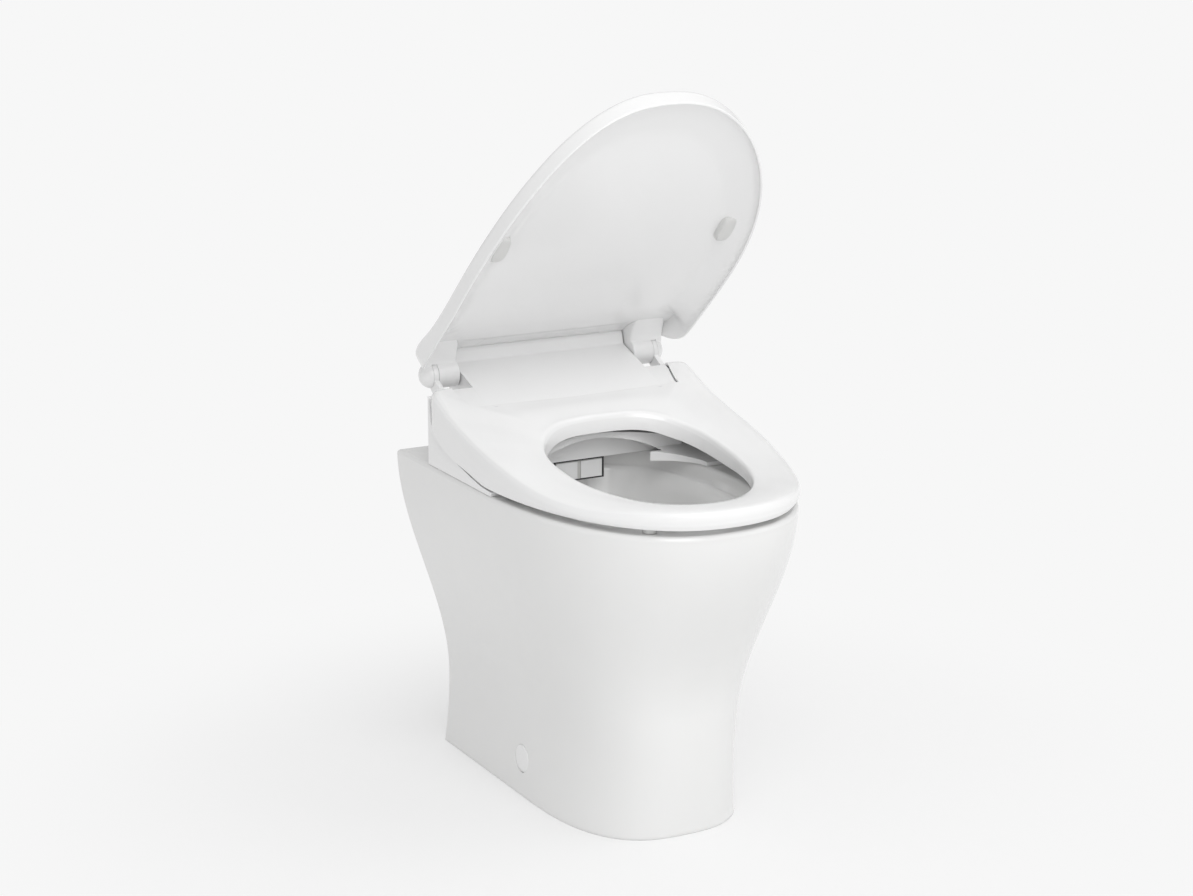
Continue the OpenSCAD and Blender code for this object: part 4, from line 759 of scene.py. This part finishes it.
# Lid pads
pad = {"x": 160.0, "rear": 332.0, "long": 46.0, "wide": 21.0, "tall": 9.0, "power": 3.2, "drawnIn": 0.22, "clear": 0.4,
       "upright": 0.5, "tip": [(0.6, 1.04), (0.3, 1.06)]}  # tip: shares of the outline's size and of the height


def makePads():  # soft pills: a superellipse that draws in round a quarter turn to a nearly flat top
    t, turn = ringAngles(96), np.linspace(0, np.pi / 2, 7)
    r = superRadius(t, pad["wide"] / 2, pad["long"] / 2, pad["power"])
    outline = np.stack([r * np.cos(t), r * np.sin(t)], axis=-1)
    tipSizes, tipLevels = np.array(pad["tip"]).T
    sizes = np.concatenate([[1.0], 1 - pad["drawnIn"] * (1 - np.cos(turn)), tipSizes])
    levels = np.concatenate([[0.0], pad["upright"] + (1 - pad["upright"]) * np.sin(turn), tipLevels])
    made = []
    for name, side in (("lidPads", -1), ("padRight", 1)):
        xy = outline[None] * sizes[:, None, None] + (side * pad["x"], wall - pad["rear"])
        base = lidTop(wall - xy[..., 1]) - lid["wall"] - pad["clear"]
        made.append(skin(name, openLid(atHeight(xy, base - pad["tall"] * levels[:, None]))))
    return joined(made)


# Fixed cover: a drum front round the hinge line, a panel and a hump, with a strip at each side
cover = {"panelFront": 154.0, "panelUp": 82.4, "panelHalf": 150.8, "stripHalf": 157.8, "humpHalf": 127.2,
         "ridgeUp": 137.0, "ridgeRear": 39.0, "humpRound": 33.0, "wall": 2.5, "rearTop": 70.5, "stripRear": 105.0,
         "stripUp": 99.0, "stripFoot": 70.0, "dip": (46.5, 119.0), "ridgeFace": 43.0, "humpTurn": (42.0, -55.0),
         "humpSteps": 20, "faceDown": 3.0,
         "drumTurn": (219.0, 213.0, 207.0, 202.0), "open": 38.0, "edge": 0.0011, "narrow": 146.0, "widened": 115.0,
         "stripFront": 159.0, "humpDip": 12.0, "stripDip": 20.0, "roomGap": 1.3, "roomSide": 1.2, "roomFront": 174.0,
         # radii of the side view's corners, and how far its points draw in for each millimetre of inset
         "panelRadius": 0.8, "stripRadius": 2.5, "humpRadii": (2.5, 2.4, 2.4, 1.5), "panelIn": (1.2, 0.7),
         "dipIn": (1.0, 0.6), "faceIn": (1.0, 1.0), "ridgeIn": (0.4, 1.3)}


def corners(points, radii, steps=6):  # each corner becomes a quadratic curve between its sides, a radius away from it
    here = np.array(points, float)
    before, after = np.roll(here, 1, axis=0) - here, np.roll(here, -1, axis=0) - here
    la, lb = (np.linalg.norm(side, axis=1)[:, None] for side in (before, after))
    cut = np.minimum(np.array(radii, float)[:, None], 0.48 * np.minimum(la, lb))
    start, end = here + before / la * cut, here + after / lb * cut
    u = np.linspace(0, 1, steps + 1)[None, :, None]
    curves = (1 - u) ** 2 * start[:, None] + 2 * u * (1 - u) * here[:, None] + u**2 * end[:, None]
    return curves[(cut > 0) | (np.arange(steps + 1) == 0)]  # a plain corner keeps one point


def sideOn(name, half, outline):  # a side view, as (distance from the wall, height over the deck), given a half width
    y, z = wall - outline[:, 0], full["deck"] + outline[:, 1]
    return prism(name, *(np.stack([np.full_like(y, x), y, z], axis=-1) for x in (-half, half)))


def stripPlan(grow, front, low, high):  # plan of the cover, which widens from the panel to the strips behind
    panelHalf, stripHalf = cover["panelHalf"] + grow, cover["stripHalf"] + grow
    half = np.array([(panelHalf, wall - front), (panelHalf, wall - cover["narrow"]),
                     (stripHalf, wall - cover["widened"]), (stripHalf, wall)])
    outline = np.concatenate([half * (-1, 1), half[::-1]])
    return prism("plan", *(atHeight(outline, full["deck"] + z) for z in (low, high)))


def drumRadius():  # from the hinge line to the panel's front edge
    return math.hypot(full["hingeRear"] - cover["panelFront"], cover["panelUp"] - full["hingeUp"])


def coverRoom():  # the room that the seat leaves for the cover
    spread = cover["stripHalf"] + cover["roomSide"] + 1
    barrel = rod("coverRoom", drumRadius() + cover["roomGap"], -spread, spread, hingeMiddle, "x", 256)
    return carve(barrel, [stripPlan(cover["roomSide"], cover["roomFront"], -5.0, 180.0)], how="INTERSECT")


def aboutHinge(radius, degrees):  # side-view points on a circle round the hinge line
    turn = np.radians(degrees)
    return list(zip(full["hingeRear"] - radius * np.cos(turn), full["hingeUp"] + radius * np.sin(turn)))


def drawnIn(point, inset, shares):  # a side-view point less the inset times its two shares
    return point[0] - inset * cover[shares][0], point[1] - inset * cover[shares][1]


def coverSide(inset, strip):  # side view: drum front, panel, and then the strip's back or the hump
    hollow = inset > 0  # the hollow's form is plain and runs out through the open underside
    drum = aboutHinge(drumRadius() - inset, cover["drumTurn"])
    outline = drum + [drawnIn((cover["panelFront"], cover["panelUp"]), inset, "panelIn")]
    radii = [0.0] * len(drum) + [cover["panelRadius"]]
    if strip:
        rear, foot = cover["stripRear"] + inset, cover["stripFoot"] - (cover["stripDip"] if hollow else 0.0)
        outline += [(rear, cover["stripUp"] - inset), (rear, foot)]
        radii += [cover["stripRadius"], 0.0]
    else:
        hump = aboutHinge(cover["humpRound"] - inset, np.linspace(*cover["humpTurn"], cover["humpSteps"]))
        outline += [drawnIn(cover["dip"], inset, "dipIn"),
                    drawnIn((cover["ridgeFace"], cover["ridgeUp"] - cover["faceDown"]), inset, "faceIn"),
                    drawnIn((cover["ridgeRear"], cover["ridgeUp"]), inset, "ridgeIn"), *hump,
                    (hump[-1][0], cover["rearTop"] - (cover["humpDip"] if hollow else 0.0))]
        radii += [*cover["humpRadii"]] + [0.0] * len(hump)
    if hollow:
        return np.array(outline + [(drum[0][0], cover["open"])])
    return corners(outline, radii)


def coverBody(inset):  # hump and strips as one solid, drawn in by inset
    side = sideOn("strip", cover["stripHalf"] - inset, coverSide(inset, True))
    side = carve(side, [stripPlan(-inset, cover["stripFront"], 0.0, 150.0)], how="INTERSECT")
    return carve(sideOn("coverHump", cover["humpHalf"] - inset, coverSide(inset, False)), [side], how="UNION")


def makeCover():  # the outer form less the inner one, with its edges rounded
    return roundEdges(carve(coverBody(0.0), [coverBody(cover["wall"])], 30.0), cover["edge"], 3, 38.0)


makeCamera()
makeLamps()
whiteShell, lidShell = mouldedPlastic("whiteShell"), mouldedPlastic("lidShell")
finishes = {
    "vitreous_china": glazedChina(),
    "white_plastic": whiteShell,
    "pale_plastic": mouldedPlastic("paleNylon"),
    "dark_plastic": mouldedPlastic("darkFrame"),
    "soft_rubber": mouldedPlastic("softPad"),
    "black_rubber": mouldedPlastic("blackRubber"),
    "steel": metalFinish("brushedSteel"),
    "circuit_board": boardFinish(),
    "heating_foil": metalFinish("heatingFoil")}
slotOf = {part["node"]: part["material_slot"] for part in frame["record"]["subparts"]}
for node, obj in frame["nodes"].items():
    obj.data.materials.clear()
    obj.data.materials.append(finishes[slotOf[node]])
print("finishes made")

finishPiece(makePan(), finishes["vitreous_china"], "base", "vitreous_china", "pan")
print("pan made")
finishPiece(makeSeat(), whiteShell, "seat", "white_plastic", "seat_top")
finishPiece(makeSeatFloor(), whiteShell, "seat", "white_plastic", "seat_base")
print("seat made")
finishPiece(makeLid(), lidShell, "lid", "white_plastic", "lid_shell")
finishPiece(makePads(), finishes["soft_rubber"], "lid", "soft_rubber", "lid_pads")
finishPiece(makeEars(), lidShell, "lid", "white_plastic", "lid_arms")
print("lid made")
finishPiece(makeCover(), whiteShell, "base", "white_plastic", "top_cover")
finishPiece(makeCaps(), whiteShell, "base", "white_plastic", "side_caps")
for node, (width, body) in softEdges.items():
    finishPiece(softened(node, width), finishes[slotOf[node]], body, slotOf[node], node)
print("unit made")
makeFloor()
makeWorld()

print("scene finished")
